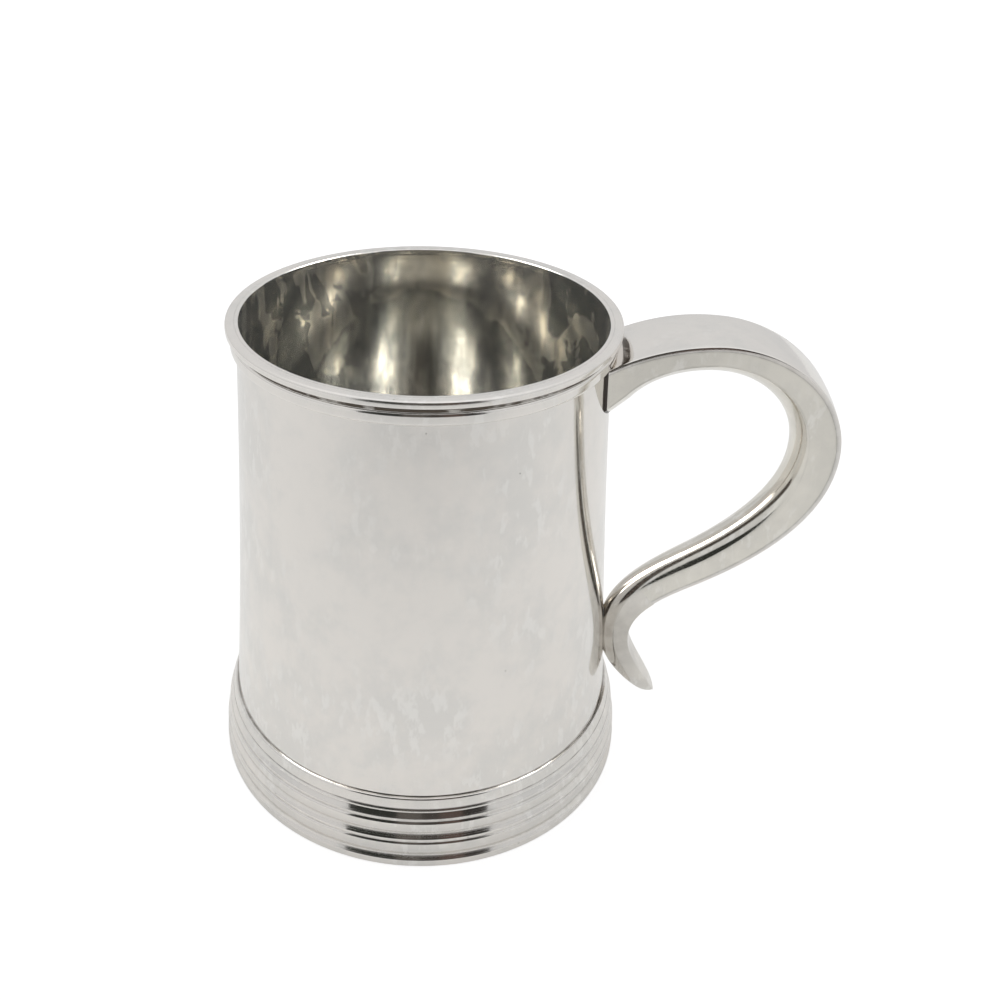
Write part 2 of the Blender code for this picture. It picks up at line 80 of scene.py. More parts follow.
class Board:
    """A node tree being wired, with short calls for the nodes that the finishes use."""

    def __init__(self, tree: bpy.types.NodeTree) -> None:
        """Keep the tree."""
        self.tree = tree

    def add(self, kind: str, inputs: dict | None = None, **settings: object) -> bpy.types.Node:
        """Add a node and feed its inputs.

        Args:
            kind: Blender's name of the node type.
            inputs: names or numbers of inputs, each with a socket or a plain value.
            settings: attributes to set on the node.

        Returns:
            The new node.
        """
        node = self.tree.nodes.new(kind)
        for name, value in settings.items():
            setattr(node, name, value)
        for key, value in (inputs or {}).items():
            self.feed(node.inputs[key], value)
        return node

    def feed(self, socket: Socket, value: object) -> None:
        """Link a socket to another socket's output, or set its plain value.

        Args:
            socket: the input that is fed.
            value: a node's output, or a plain value.
        """
        if isinstance(value, Socket):
            self.tree.links.new(value, socket)
        else:
            socket.default_value = value

    def maths(self, operation: str, *values: object, clamp: bool = False) -> Socket:
        """Return the output of a Math node.

        Args:
            operation: the Math node's operation.
            values: its inputs, sockets or numbers.
            clamp: keep the result between 0 and 1.

        Returns:
            The result's socket.
        """
        inputs = dict(enumerate(values))
        return self.add("ShaderNodeMath", inputs, operation=operation, use_clamp=clamp).outputs[0]

    def plus(self, first: object, second: object, clamp: bool = False) -> Socket:
        """Return the sum of two values."""
        return self.maths("ADD", first, second, clamp=clamp)

    def minus(self, first: object, second: object, clamp: bool = False) -> Socket:
        """Return the first value less the second."""
        return self.maths("SUBTRACT", first, second, clamp=clamp)

    def times(self, first: object, second: object, clamp: bool = False) -> Socket:
        """Return the product of two values."""
        return self.maths("MULTIPLY", first, second, clamp=clamp)

    def noise(self, vector: object, scale: float, detail: float = 2.0, rough: float = 0.5) -> Socket:
        """Return the value of a Noise Texture on the vector."""
        inputs = {"Vector": vector, "Scale": scale, "Detail": detail, "Roughness": rough}
        return self.add("ShaderNodeTexNoise", inputs, noise_dimensions="3D").outputs["Fac"]

    def mapped(
        self,
        vector: object,
        scale: Triple = (1.0, 1.0, 1.0),
        turn: Triple = (0.0, 0.0, 0.0),
        move: Triple = (0.0, 0.0, 0.0),
    ) -> Socket:
        """Return the vector stretched, turned and moved.

        Args:
            vector: the vector's socket.
            scale: the stretch along each axis.
            turn: the turn about each axis, in degrees.
            move: the distance along each axis.

        Returns:
            The new vector's socket.
        """
        angles = [math.radians(angle) for angle in turn]
        inputs = {"Vector": vector, "Location": move, "Rotation": angles, "Scale": scale}
        return self.add("ShaderNodeMapping", inputs).outputs["Vector"]

    def ramp(self, value: object, stops: Sequence[tuple[float, float]]) -> Socket:
        """Return a grey value read off smooth stops.

        Args:
            value: the socket that is looked up, between 0 and 1.
            stops: (place, grey) pairs in rising order.

        Returns:
            The ramp's socket.
        """
        node = self.add("ShaderNodeValToRGB", {"Fac": value})
        node.color_ramp.interpolation = "EASE"
        elements = node.color_ramp.elements
        while len(elements) < len(stops):
            elements.new(0.5)
        for element, (place, grey) in zip(elements, stops):
            element.position = place
            element.color = (grey, grey, grey, 1.0)
        return node.outputs["Color"]

    def blend(self, share: object, first: object, second: object) -> Socket:
        """Return two colours mixed by a share."""
        inputs = {"Factor": share, 6: tint(first), 7: tint(second)}
        return self.add("ShaderNodeMix", inputs, data_type="RGBA", blend_type="MIX").outputs[2]

    def split(self, vector: object) -> tuple[Socket, ...]:
        """Return the vector's X, Y and Z."""
        return tuple(self.add("ShaderNodeSeparateXYZ", {0: vector}).outputs)

    def join(self, x: object, y: object, z: object) -> Socket:
        """Return a vector made of three values."""
        return self.add("ShaderNodeCombineXYZ", {0: x, 1: y, 2: z}).outputs[0]

    def object_place(self) -> Socket:
        """Return the place on the object."""
        return self.add("ShaderNodeTexCoord").outputs["Object"]

    def attribute(self, name: str) -> Socket:
        """Return a value kept on the piece's own points."""
        node = self.add("ShaderNodeAttribute", attribute_name=name, attribute_type="GEOMETRY")
        return node.outputs["Fac"]

    def group(self, tree: bpy.types.NodeTree, **values: object) -> bpy.types.bpy_prop_collection:
        """Place a node group, feed its inputs and return its outputs."""
        return self.add("ShaderNodeGroup", values, node_tree=tree).outputs


def tint(value: object) -> object:
    """Return a colour with its fourth part, or the value itself where it is a socket."""
    return (*value, 1.0) if isinstance(value, tuple) else value


def blank_material(name: str) -> tuple[bpy.types.Material, Board]:
    """Return a new material and the board of its nodes.

    Args:
        name: the material's name.

    Returns:
        The material, which holds a Principled shader, and its board.
    """
    material = bpy.data.materials.new(name)
    material.use_nodes = True
    return material, Board(material.node_tree)


class Effect:
    """A shader node group that several finishes place with their own values."""

    def __init__(self, name: str, inputs: dict[str, str], outputs: dict[str, str]) -> None:
        """Make the empty group.

        Args:
            name: the group's name.
            inputs: name to kind, where kind is Float, Color or Vector.
            outputs: name to kind.
        """
        self.tree = bpy.data.node_groups.new(name, "ShaderNodeTree")
        for way, sockets in (("INPUT", inputs), ("OUTPUT", outputs)):
            for label, kind in sockets.items():
                self.tree.interface.new_socket(label, in_out=way, socket_type=f"NodeSocket{kind}")
        self.board = Board(self.tree)
        self.source = self.board.add("NodeGroupInput").outputs
        self.result = self.board.add("NodeGroupOutput").inputs

    def give(self, **values: Socket) -> bpy.types.NodeTree:
        """Feed the group's outputs.

        Args:
            values: the sockets that feed the outputs of these names.

        Returns:
            The finished group.
        """
        for name, value in values.items():
            self.board.feed(self.result[name], value)
        return self.tree


class Effects:
    """The groups for polish marks, bloom, pits, grime and painted shade in recesses, painted shade round a
    joint, and the tarnish and painted shade inside.
    """

    def __init__(self) -> None:
        """Build every group once."""
        self.hairlines = self.build_hairlines()
        self.bloom = self.build_bloom()
        self.pits = self.build_pits()
        self.grime_and_shade = self.build_grime_and_shade()
        self.joint_shade = self.build_joint_shade()
        self.tarnish_and_shade = self.build_tarnish_and_shade()

    @staticmethod
    def build_hairlines() -> bpy.types.NodeTree:
        """Return the group of fine wiping scratches that run in three directions."""
        effect = Effect("polish_hairlines", {"Vector": "Vector"}, {"Lines": "Float"})
        board, source = effect.board, effect.source["Vector"]
        lines: object = 0.0
        for turn, stretch in (((12, 0, 25), 900.0), ((70, 40, -35), 1200.0), ((35, 80, 60), 1500.0)):
            lane = board.mapped(source, scale=(18.0, stretch, stretch), turn=turn)
            apart = board.maths("ABSOLUTE", board.minus(board.noise(lane, scale=1.0, detail=1.0), 0.5))
            line = board.minus(1.0, board.times(apart, 26.0), clamp=True)
            lines = board.maths("MAXIMUM", lines, line)
        patch = board.ramp(board.noise(source, scale=90.0), [(0.35, 0.1), (0.7, 1.0)])
        return effect.give(Lines=board.times(lines, patch))

    @staticmethod
    def build_bloom() -> bpy.types.NodeTree:
        """Return the group of soft clouds, brushed wisps and light scuffs that old silver shows."""
        effect = Effect(
            "silver_bloom",
            {"Vector": "Vector", "Warm": "Color", "Cool": "Color", "Scuffs": "Float"},
            {"Colour": "Color", "Cloud": "Float"},
        )
        board, source = effect.board, effect.source["Vector"]
        wide = board.noise(source, scale=38.0, detail=3.0, rough=0.55)
        moved = board.mapped(source, move=(0.3, 0.7, 0.1))
        close = board.noise(moved, scale=120.0, detail=3.0, rough=0.6)
        brushed = board.mapped(source, scale=(1.0, 1.0, 0.7), turn=(20, 0, 15))
        wisps = board.noise(brushed, scale=300.0, detail=4.0, rough=0.65)
        cloud = board.plus(board.times(wide, 0.55), board.times(close, 0.25))
        cloud = board.plus(cloud, board.times(wisps, 0.20))
        cloud = board.ramp(cloud, [(0.40, 0.0), (0.60, 1.0)])
        colour = board.blend(cloud, effect.source["Warm"], effect.source["Cool"])
        stroked = board.mapped(source, scale=(1.0, 1.0, 0.4), turn=(0, 25, 0))
        strokes = board.noise(stroked, scale=420.0, detail=3.0, rough=0.6)
        worn = board.ramp(wide, [(0.4, 0.0), (0.6, 1.0)])
        rubbed = board.times(board.ramp(strokes, [(0.52, 0.0), (0.62, 1.0)]), worn)
        light = board.times(rubbed, effect.source["Scuffs"])
        return effect.give(Colour=board.blend(light, colour, (0.97, 0.96, 0.94)), Cloud=cloud)

    @staticmethod
    def build_pits() -> bpy.types.NodeTree:
        """Return the group of small scattered pits and knocks."""
        effect = Effect("pits", {"Vector": "Vector", "Density": "Float"}, {"Pit": "Float"})
        board = effect.board
        inputs = {"Vector": effect.source["Vector"], "Scale": 330.0}
        cells = board.add("ShaderNodeTexVoronoi", inputs, feature="F1").outputs
        chance = board.maths("LESS_THAN", board.split(cells["Color"])[0], effect.source["Density"])
        dot = board.minus(1.6, board.maths("DIVIDE", cells["Distance"], 0.045), clamp=True)
        return effect.give(Pit=board.times(chance, dot))

    @staticmethod
    def build_grime_and_shade() -> bpy.types.NodeTree:
        """Return the group that darkens grooves, seams and corners: what the polishing cloth leaves there,
        and painted shade.
        """
        effect = Effect(
            "groove_grime_and_shade", {"Vector": "Vector", "Recess": "Float", "Amount": "Float"}, {"Mask": "Float"}
        )
        board = effect.board
        cloud = board.noise(effect.source["Vector"], scale=260.0, detail=3.0)
        uneven = board.ramp(cloud, [(0.3, 0.35), (0.65, 1.0)])
        deep = board.maths("POWER", effect.source["Recess"], 1.6)
        mask = board.times(board.times(deep, uneven), effect.source["Amount"], clamp=True)
        return effect.give(Mask=mask)

    @staticmethod
    def build_joint_shade() -> bpy.types.NodeTree:
        """Return the group of painted shade that darkens the silver round a soldered joint."""
        effect = Effect(
            "joint_painted_shade", {"Vector": "Vector", "Place": "Vector", "Reach": "Float"}, {"Mask": "Float"}
        )
        board, source = effect.board, effect.source["Vector"]
        ends = {0: source, 1: effect.source["Place"]}
        apart = board.add("ShaderNodeVectorMath", ends, operation="DISTANCE").outputs["Value"]
        near = board.minus(1.0, board.maths("DIVIDE", apart, effect.source["Reach"]), clamp=True)
        cloud = board.noise(source, scale=240.0, detail=3.0)
        uneven = board.ramp(cloud, [(0.3, 0.6), (0.7, 1.0)])
        return effect.give(Mask=board.times(board.times(near, uneven), 0.55))

    @staticmethod
    def build_tarnish_and_shade() -> bpy.types.NodeTree:
        """Return the group of what drink leaves, runs and firm-edged patches, and of painted shade: patches
        heavier towards -X and +X, and a darker wall below a slanting line.
        """
        effect = Effect(
            "drink_tarnish_and_shade",
            {"Vector": "Vector", "Tide": "Float"},
            {"Stain": "Float", "Streak": "Float", "Tide": "Float", "Rings": "Float"},
        )
        board, source = effect.board, effect.source["Vector"]
        x, y, z = board.split(source)
        warp = board.join(0.0, 0.0, board.times(board.noise(source, scale=45.0), 0.05))
        bent = board.add("ShaderNodeVectorMath", {0: source, 1: warp}, operation="ADD").outputs[0]
        tall = board.mapped(bent, scale=(1.0, 1.0, 0.7))
        # Stains and painted shade: the patches grow heavier towards the walls at -X and +X.
        sides = board.times(board.times(x, x), 60.0)
        patches = board.plus(board.noise(tall, scale=130.0, detail=3.0, rough=0.55), sides)
        heavy_stain_and_side_shade = board.plus(board.times(sides, 12.0), 0.34, clamp=True)
        stain_and_side_shade = board.times(board.ramp(patches, [(0.57, 0.0), (0.585, 1.0)]), heavy_stain_and_side_shade)
        drawn = board.mapped(bent, scale=(1.0, 1.0, 0.12))
        runs = board.noise(drawn, scale=190.0, detail=3.0, rough=0.6)
        # Painted shade: the wall is darker below a slanting line that is highest towards +Y.
        slant = board.plus(board.times(x, -0.133), board.times(y, 0.991))
        level = board.plus(board.times(slant, 1.75), effect.source["Tide"])
        ragged = board.times(board.noise(source, scale=110.0, detail=3.0, rough=0.6), 0.012)
        under = board.minus(board.plus(level, ragged), board.plus(z, 0.006))
        flat = board.mapped(source, scale=(1.0, 1.0, 60.0))
        rings = board.noise(flat, scale=34.0, detail=2.0, rough=0.6)
        return effect.give(
            Stain=stain_and_side_shade,
            Streak=board.ramp(runs, [(0.35, 0.0), (0.7, 1.0)]),
            Tide=board.times(under, 1200.0, clamp=True),
            Rings=board.ramp(rings, [(0.35, 0.0), (0.65, 1.0)]),
        )


# Finishes


class Marks(Enum):
    """How a surface was last worked, which sets the direction of its fine lines."""

    WIPED = "wiped by hand in all directions"
    TURNED = "turned, with lines round the axis"


@dataclass(frozen=True)
class Finish:
    """A finish whose patterns are centred on the barrel's axis."""

    name: str

    def material(self, effects: Effects, axis: float) -> bpy.types.Material:
        """Return a new material of this finish.

        Args:
            effects: the shared node groups.
            axis: the X of the barrel's axis.

        Returns:
            The material.
        """
        material, board = blank_material(self.name)
        centred = board.mapped(board.object_place(), move=(-axis, 0.0, 0.0))
        shader = material.node_tree.nodes["Principled BSDF"]
        for name, value in self.wire(board, effects, centred).items():
            board.feed(shader.inputs[name], value)
        return material

    def wire(self, board: Board, effects: Effects, centred: Socket) -> dict[str, object]:
        """Return what feeds the shader's inputs, by their names."""
        raise NotImplementedError


@dataclass(frozen=True)
class SilverFinish(Finish):
    """Polished silver with its bloom, hairlines, pits, and recesses darkened by grime and painted shade."""

    warm: Triple = (0.87, 0.84, 0.805)
    cool: Triple = (0.795, 0.78, 0.755)
    scuffs: float = 0.35
    # Where the painted shade round a joint is centred, and how far it reaches.
    shade_at: Triple = (0.0, 0.0, -1.0)
    shade_reach: float = 0.012
    # Near-black for grime and painted shade in recesses, and for the painted shade round a joint.
    grime_and_shade: Triple = (0.10, 0.085, 0.07)
    grime_and_shade_amount: float = 1.0
    pit_density: float = 0.04
    pit_darkness: float = 0.75
    pit_depth: float = 0.0001
    pit_strength: float = 0.3
    roughness: float = 0.07
    scratch: float = 0.10
    dirt_roughness: float = 0.25
    bloom_roughness: float = 0.02
    ripple: float = 0.02
    ripple_depth: float = 0.002
    marks: Marks = Marks.WIPED

    def wire(self, board: Board, effects: Effects, centred: Socket) -> dict[str, object]:
        """Lay bloom, the painted shade round a joint, grime with painted shade in recesses, and pits over
        each other.

        Args:
            board: the board of the material.
            effects: the shared node groups.
            centred: the place on the object, from the barrel's axis.

        Returns:
            What feeds the shader's inputs, by their names.
        """
        tones = {"Warm": tint(self.warm), "Cool": tint(self.cool), "Scuffs": self.scuffs}
        bloom = board.group(effects.bloom, Vector=centred, **tones)
        lines = board.group(effects.hairlines, Vector=self.lanes(board, centred))["Lines"]
        pit = board.group(effects.pits, Vector=centred, Density=self.pit_density)["Pit"]
        # The recess mask darkens grooves, seams and corners: grime and painted shade.
        recess = board.attribute("recess")
        grime_and_shade = board.group(effects.grime_and_shade, Vector=centred, Recess=recess, Amount=self.grime_and_shade_amount)
        dark = board.maths("MAXIMUM", grime_and_shade["Mask"], board.times(pit, self.pit_darkness))
        # Painted shade round a joint, where the heel meets the barrel.
        joint_shade = board.group(effects.joint_shade, Vector=centred, Place=self.shade_at, Reach=self.shade_reach)
        shaded = board.blend(joint_shade["Mask"], bloom["Colour"], self.grime_and_shade)
        rough = board.plus(self.roughness, board.times(lines, self.scratch))
        rough = board.plus(rough, board.times(dark, self.dirt_roughness))
        return {
            "Base Color": board.blend(dark, shaded, self.grime_and_shade),
            "Metallic": 1.0,
            "Roughness": board.plus(rough, board.times(bloom["Cloud"], self.bloom_roughness)),
            "Normal": self.surface(board, centred, pit),
        }

    def lanes(self, board: Board, centred: Socket) -> Socket:
        """Return the coordinates that the hairlines follow.

        Args:
            board: the board of the material.
            centred: the place on the object, from the barrel's axis.

        Returns:
            The coordinates' socket.
        """
        if self.marks is Marks.WIPED:
            return centred
        x, y, z = board.split(centred)
        radius = board.maths("SQRT", board.plus(board.times(x, x), board.times(y, y)))
        return board.join(board.times(x, 0.05), radius, z)

    def surface(self, board: Board, centred: Socket, pit: Socket) -> Socket:
        """Return the normal: a hand-beaten wave that bends reflections a little, and the pits.

        Args:
            board: the board of the material.
            centred: the place on the object, from the barrel's axis.
            pit: the mask of the pits.

        Returns:
            The normal's socket.
        """
        wave = board.noise(centred, scale=55.0, detail=1.0)
        swell = {"Strength": self.ripple, "Distance": self.ripple_depth, "Height": wave}
        swollen = board.add("ShaderNodeBump", swell).outputs["Normal"]
        dent = {"Strength": self.pit_strength, "Distance": self.pit_depth, "Height": pit}
        dent["Normal"] = swollen
        return board.add("ShaderNodeBump", dent, invert=True).outputs["Normal"]


@dataclass(frozen=True)
class InsideFinish(Finish):
    """The dull inside, turned in fine rings, mottled brown and blue grey, with runs down the wall and
    painted shade.
    """

    light: Triple = (0.99, 0.97, 0.92)
    brown: Triple = (0.95, 0.91, 0.84)
    slate: Triple = (0.38, 0.39, 0.39)
    # The paler end of the painted shade's tone below the slanting line.
    painted_shade_tone: Triple = (0.80, 0.81, 0.78)
    metal: float = 0.95
    roughness: float = 0.10
    stain_roughness: float = 0.03
    # The height of the painted shade's slanting line, and how much it darkens.
    shade_level: float = 0.0375
    painted_shade_share: float = 0.85
    stain_and_side_shade_share: float = 0.9
    ring_share: float = 0.12
    ripple: float = 0.02
    ripple_depth: float = 0.002

    def wire(self, board: Board, effects: Effects, centred: Socket) -> dict[str, object]:
        """Lay runs, painted shade below a slanting line, stains with painted shade at the sides, and rings
        over each other.

        Args:
            board: the board of the material.
            effects: the shared node groups.
            centred: the place on the object, from the barrel's axis.

        Returns:
            What feeds the shader's inputs, by their names.
        """
        tarnish_and_shade = board.group(effects.tarnish_and_shade, Vector=centred, Tide=self.shade_level)
        base = board.blend(tarnish_and_shade["Streak"], self.brown, self.light)
        painted_shade_tone = board.blend(tarnish_and_shade["Streak"], self.slate, self.painted_shade_tone)
        # Painted shade below the slanting line.
        base = board.blend(board.times(tarnish_and_shade["Tide"], self.painted_shade_share), base, painted_shade_tone)
        # Stains, with painted shade towards -X and +X.
        base = board.blend(board.times(tarnish_and_shade["Stain"], self.stain_and_side_shade_share), base, self.slate)
        rings = board.times(tarnish_and_shade["Rings"], self.ring_share)
        wave = board.noise(centred, scale=60.0)
        swell = {"Strength": self.ripple, "Distance": self.ripple_depth, "Height": wave}
        return {
            "Base Color": board.blend(rings, base, self.slate),
            "Metallic": self.metal,
            "Roughness": board.plus(self.roughness, board.times(tarnish_and_shade["Stain"], self.stain_roughness)),
            "Normal": board.add("ShaderNodeBump", swell).outputs["Normal"],
        }


def wear(item: bpy.types.Object, effects: Effects, axis: float, *finishes: Finish) -> None:
    """Put finishes on a piece, in the order of its faces' material numbers."""
    for finish in finishes:
        item.data.materials.append(finish.material(effects, axis))


# Shapes


class Spot(NamedTuple):
    """A point of a turned outline: radius, height, how much dirt and painted shade it keeps and how far it
    is rounded.
    """

    radius: float
    height: float
    recess: float = 0.0
    ease: float = 0.0


def arc(
    centre: tuple[float, float], radii: tuple[float, float], start: float, end: float, steps: int
) -> list[Spot]:
    """Return spots along an elliptic arc.

    Args:
        centre: its radius and height.
        radii: the arc's two half-axes.
        start: the first angle in degrees.
        end: the last angle in degrees.
        steps: how many pieces it has.

    Returns:
        The spots from start to end.
    """
    spots = []
    for step in range(steps + 1):
        angle = math.radians(start + (end - start) * step / steps)
        radius = centre[0] + radii[0] * math.cos(angle)
        spots.append(Spot(radius, centre[1] + radii[1] * math.sin(angle)))
    return spots


def smoothed(item: bpy.types.Object) -> None:
    """Shade a piece smooth, with crisp edges where it turns sharply."""
    item.data.shade_smooth()
    item.data.set_sharp_from_angle(angle=math.radians(SHARP_ANGLE))


def placed(name: str, shape: bmesh.types.BMesh) -> bpy.types.Object:
    """Make an object of a bmesh and put it in the scene.

    Args:
        name: the object's name.
        shape: the bmesh, which is freed.

    Returns:
        The object, unturned at the origin.
    """
    mesh = bpy.data.meshes.new(name)
    shape.to_mesh(mesh)
    shape.free()
    item = bpy.data.objects.new(name, mesh)
    bpy.context.scene.collection.objects.link(item)
    return item


def finished(name: str, shape: bmesh.types.BMesh, axis: float) -> bpy.types.Object:
    """Turn a bmesh made about the barrel's axis into an object in its place.

    Args:
        name: the object's name.
        shape: the bmesh, which is freed.
        axis: the X of the barrel's axis.

    Returns:
        The object, unturned at the origin, with its place in its mesh.
    """
    bmesh.ops.remove_doubles(shape, verts=shape.verts, dist=MERGE)
    bmesh.ops.recalc_face_normals(shape, faces=shape.faces)
    bmesh.ops.translate(shape, verts=shape.verts, vec=(axis, 0.0, 0.0))
    item = placed(name, shape)
    smoothed(item)
    return item


def rounded(shape: bmesh.types.BMesh, edges: list[bmesh.types.BMEdge], size: float, steps: int) -> None:
    """Round edges of a bmesh.

    Args:
        shape: the bmesh.
        edges: its edges to round.
        size: how far the rounding reaches.
        steps: how many faces it has across.
    """
    bmesh.ops.bevel(
        shape,
        geom=edges,
        offset=size,
        offset_type="OFFSET",
        affect="EDGES",
        segments=steps,
        profile=0.5,
        material=-1,
        clamp_overlap=True,
    )


def spun(spots: list[Spot], segments: int, closed: bool = True) -> bmesh.types.BMesh:
    """Spin an outline about the Z axis and round the corners that ask for it.

    Args:
        spots: the outline, anticlockwise seen with the axis on its left.
        segments: how many steps a full turn has.
        closed: join the last spot to the first, as for a ring.

    Returns:
        The bmesh with a recess value on every point.
    """
    shape = bmesh.new()
    recess = shape.verts.layers.float.new("recess")
    ease = shape.verts.layers.float.new("ease")
    points = []
    for spot in spots:
        point = shape.verts.new((spot.radius, 0.0, spot.height))
        point[recess] = spot.recess
        point[ease] = spot.ease
        points.append(point)
    following = points[1:] + points[:1] if closed else points[1:]
    edges = [shape.edges.new(pair) for pair in zip(points, following)]
    bmesh.ops.spin(
        shape,
        geom=points + edges,
        cent=(0.0, 0.0, 0.0),
        axis=(0.0, 0.0, 1.0),
        angle=math.tau,
        steps=segments,
        use_merge=True,
    )
    bmesh.ops.remove_doubles(shape, verts=shape.verts, dist=MERGE)
    for size in sorted({spot.ease for spot in spots if spot.ease}):
        rings = [
            edge
            for edge in shape.edges
            if all(abs(point[ease] - size) < SAME_EASE for point in edge.verts)
            and abs(edge.verts[0].co.z - edge.verts[1].co.z) < SAME_PLACE
            and abs(edge.verts[0].co.xy.length - edge.verts[1].co.xy.length) < SAME_PLACE
        ]
        rounded(shape, rings, size, 3)
    return shape


@dataclass
class Barrel:
    """The tapered wall: a little hollow in its side, straight at the mouth, dull inside."""

    height: float = 0.1200
    wall: float = 0.0009
    mouth_radius: float = 0.0409
    base_radius: float = 0.0512
    hollow: float = 0.0007
    band: float = 0.00595
    lift: float = 0.0006
    lip_ease: float = 0.0003
    inner_ease: float = 0.0052
    inner_steps: int = 6
    side_steps: int = 48
    segments: int = 288

    @property
    def top_radius(self) -> float:
        """The outer radius of the straight mouth."""
        return self.mouth_radius + self.wall

    @property
    def shoulder(self) -> float:
        """The height at which the straight mouth starts."""
        return self.height - self.band

    def outside(self, height: float) -> float:
        """Return the outer radius at a height.

        Args:
            height: the height above the foot's underside.

        Returns:
            The radius.
        """
        if height >= self.shoulder:
            return self.top_radius
        share = height / self.shoulder
        chord = self.base_radius + (self.top_radius - self.base_radius) * share
        return chord - 4 * self.hollow * share * (1 - share)

    def inside(self, height: float) -> float:
        """Return the inner radius at a height, where the taper eases into the straight mouth.

        Args:
            height: the height above the foot's underside.

        Returns:
            The radius.
        """
        near = (height - self.shoulder + self.inner_ease) / (2 * self.inner_ease)
        if not 0.0 < near < 1.0:
            return self.outside(height) - self.wall
        start = self.outside(self.shoulder - self.inner_ease)
        return start - self.wall + 2 * (self.top_radius - start) * (near - near**2 / 2)

    def heights(self) -> list[float]:
        """Return the heights at which the side is divided, bottom to shoulder."""
        run = self.shoulder - self.lift
        return [self.lift + run * step / self.side_steps for step in range(self.side_steps + 1)]

    def build(self, axis: float) -> bpy.types.Object:
        """Build the barrel.

        Args:
            axis: the X of the barrel's axis.

        Returns:
            The barrel, whose second material is its inside.
        """
        outer = [Spot(self.outside(height), height) for height in self.heights()]
        steps = range(1, self.inner_steps)
        straight = [self.shoulder + self.inner_ease * step / self.inner_steps for step in steps]
        inner = [Spot(self.inside(height), height) for height in self.heights() + straight]
        lip = [
            Spot(self.top_radius, self.height),
            Spot(self.mouth_radius, self.height, ease=self.lip_ease),
        ]
        shape = spun(outer + lip + inner[::-1], self.segments)
        for face in shape.faces:
            middle = face.calc_center_median()
            within = middle.xy.length < self.outside(middle.z) - self.wall / 2
            face.material_index = int(within and middle.z < self.height - self.lip_ease / 2)
        return finished("barrel_wall", shape, axis)

    def dress(self, item: bpy.types.Object, effects: Effects, axis: float) -> None:
        """Give the barrel its polished outside and its tarnished inside with painted shade."""
        wear(item, effects, axis, SilverFinish("body_silver"), InsideFinish("inside_silver"))


@dataclass
class BaseDisc:
    """The let-in bottom, domed a little upwards."""

    barrel: Barrel
    recess: float = 0.0085
    thickness: float = 0.0011
    dome: float = 0.0008
    dirt_and_shade_power: int = 12
    steps: int = 24

    def rise(self, share: float) -> float:
        """Return the dome's height over its edge at a share of its radius."""
        return self.dome * math.cos(share * math.pi / 2) ** 2

    def build(self, axis: float) -> bpy.types.Object:
        """Build the base disc.

        Args:
            axis: the X of the barrel's axis.

        Returns:
            The disc, whose second material is its upper face.
        """
        rim = self.barrel.outside(self.recess) - self.barrel.wall - SEAM
        lower = []
        for step in range(self.steps + 1):
            share = step / self.steps
            # The disc darkens towards its edge against the wall: dirt and painted shade.
            lower.append(Spot(rim * share, self.recess + self.rise(share), share**self.dirt_and_shade_power))
        upper = [Spot(spot.radius, spot.height + self.thickness, spot.recess) for spot in lower]
        shape = spun(lower + upper[::-1], self.barrel.segments, closed=False)
        middle = self.recess + self.thickness / 2
        for face in shape.faces:
            centre = face.calc_center_median()
            face.material_index = int(centre.z > middle + self.rise(centre.xy.length / rim))
        return finished("base_plate", shape, axis)

    def dress(self, item: bpy.types.Object, effects: Effects, axis: float) -> None:
        """Give the underside a worn polish and the inside its tarnish with painted shade."""
        under = SilverFinish("base_silver", roughness=0.16, scratch=0.2, pit_density=0.1, ripple=0.05)
        wear(item, effects, axis, under, InsideFinish("inside_floor", shade_level=-1.0))


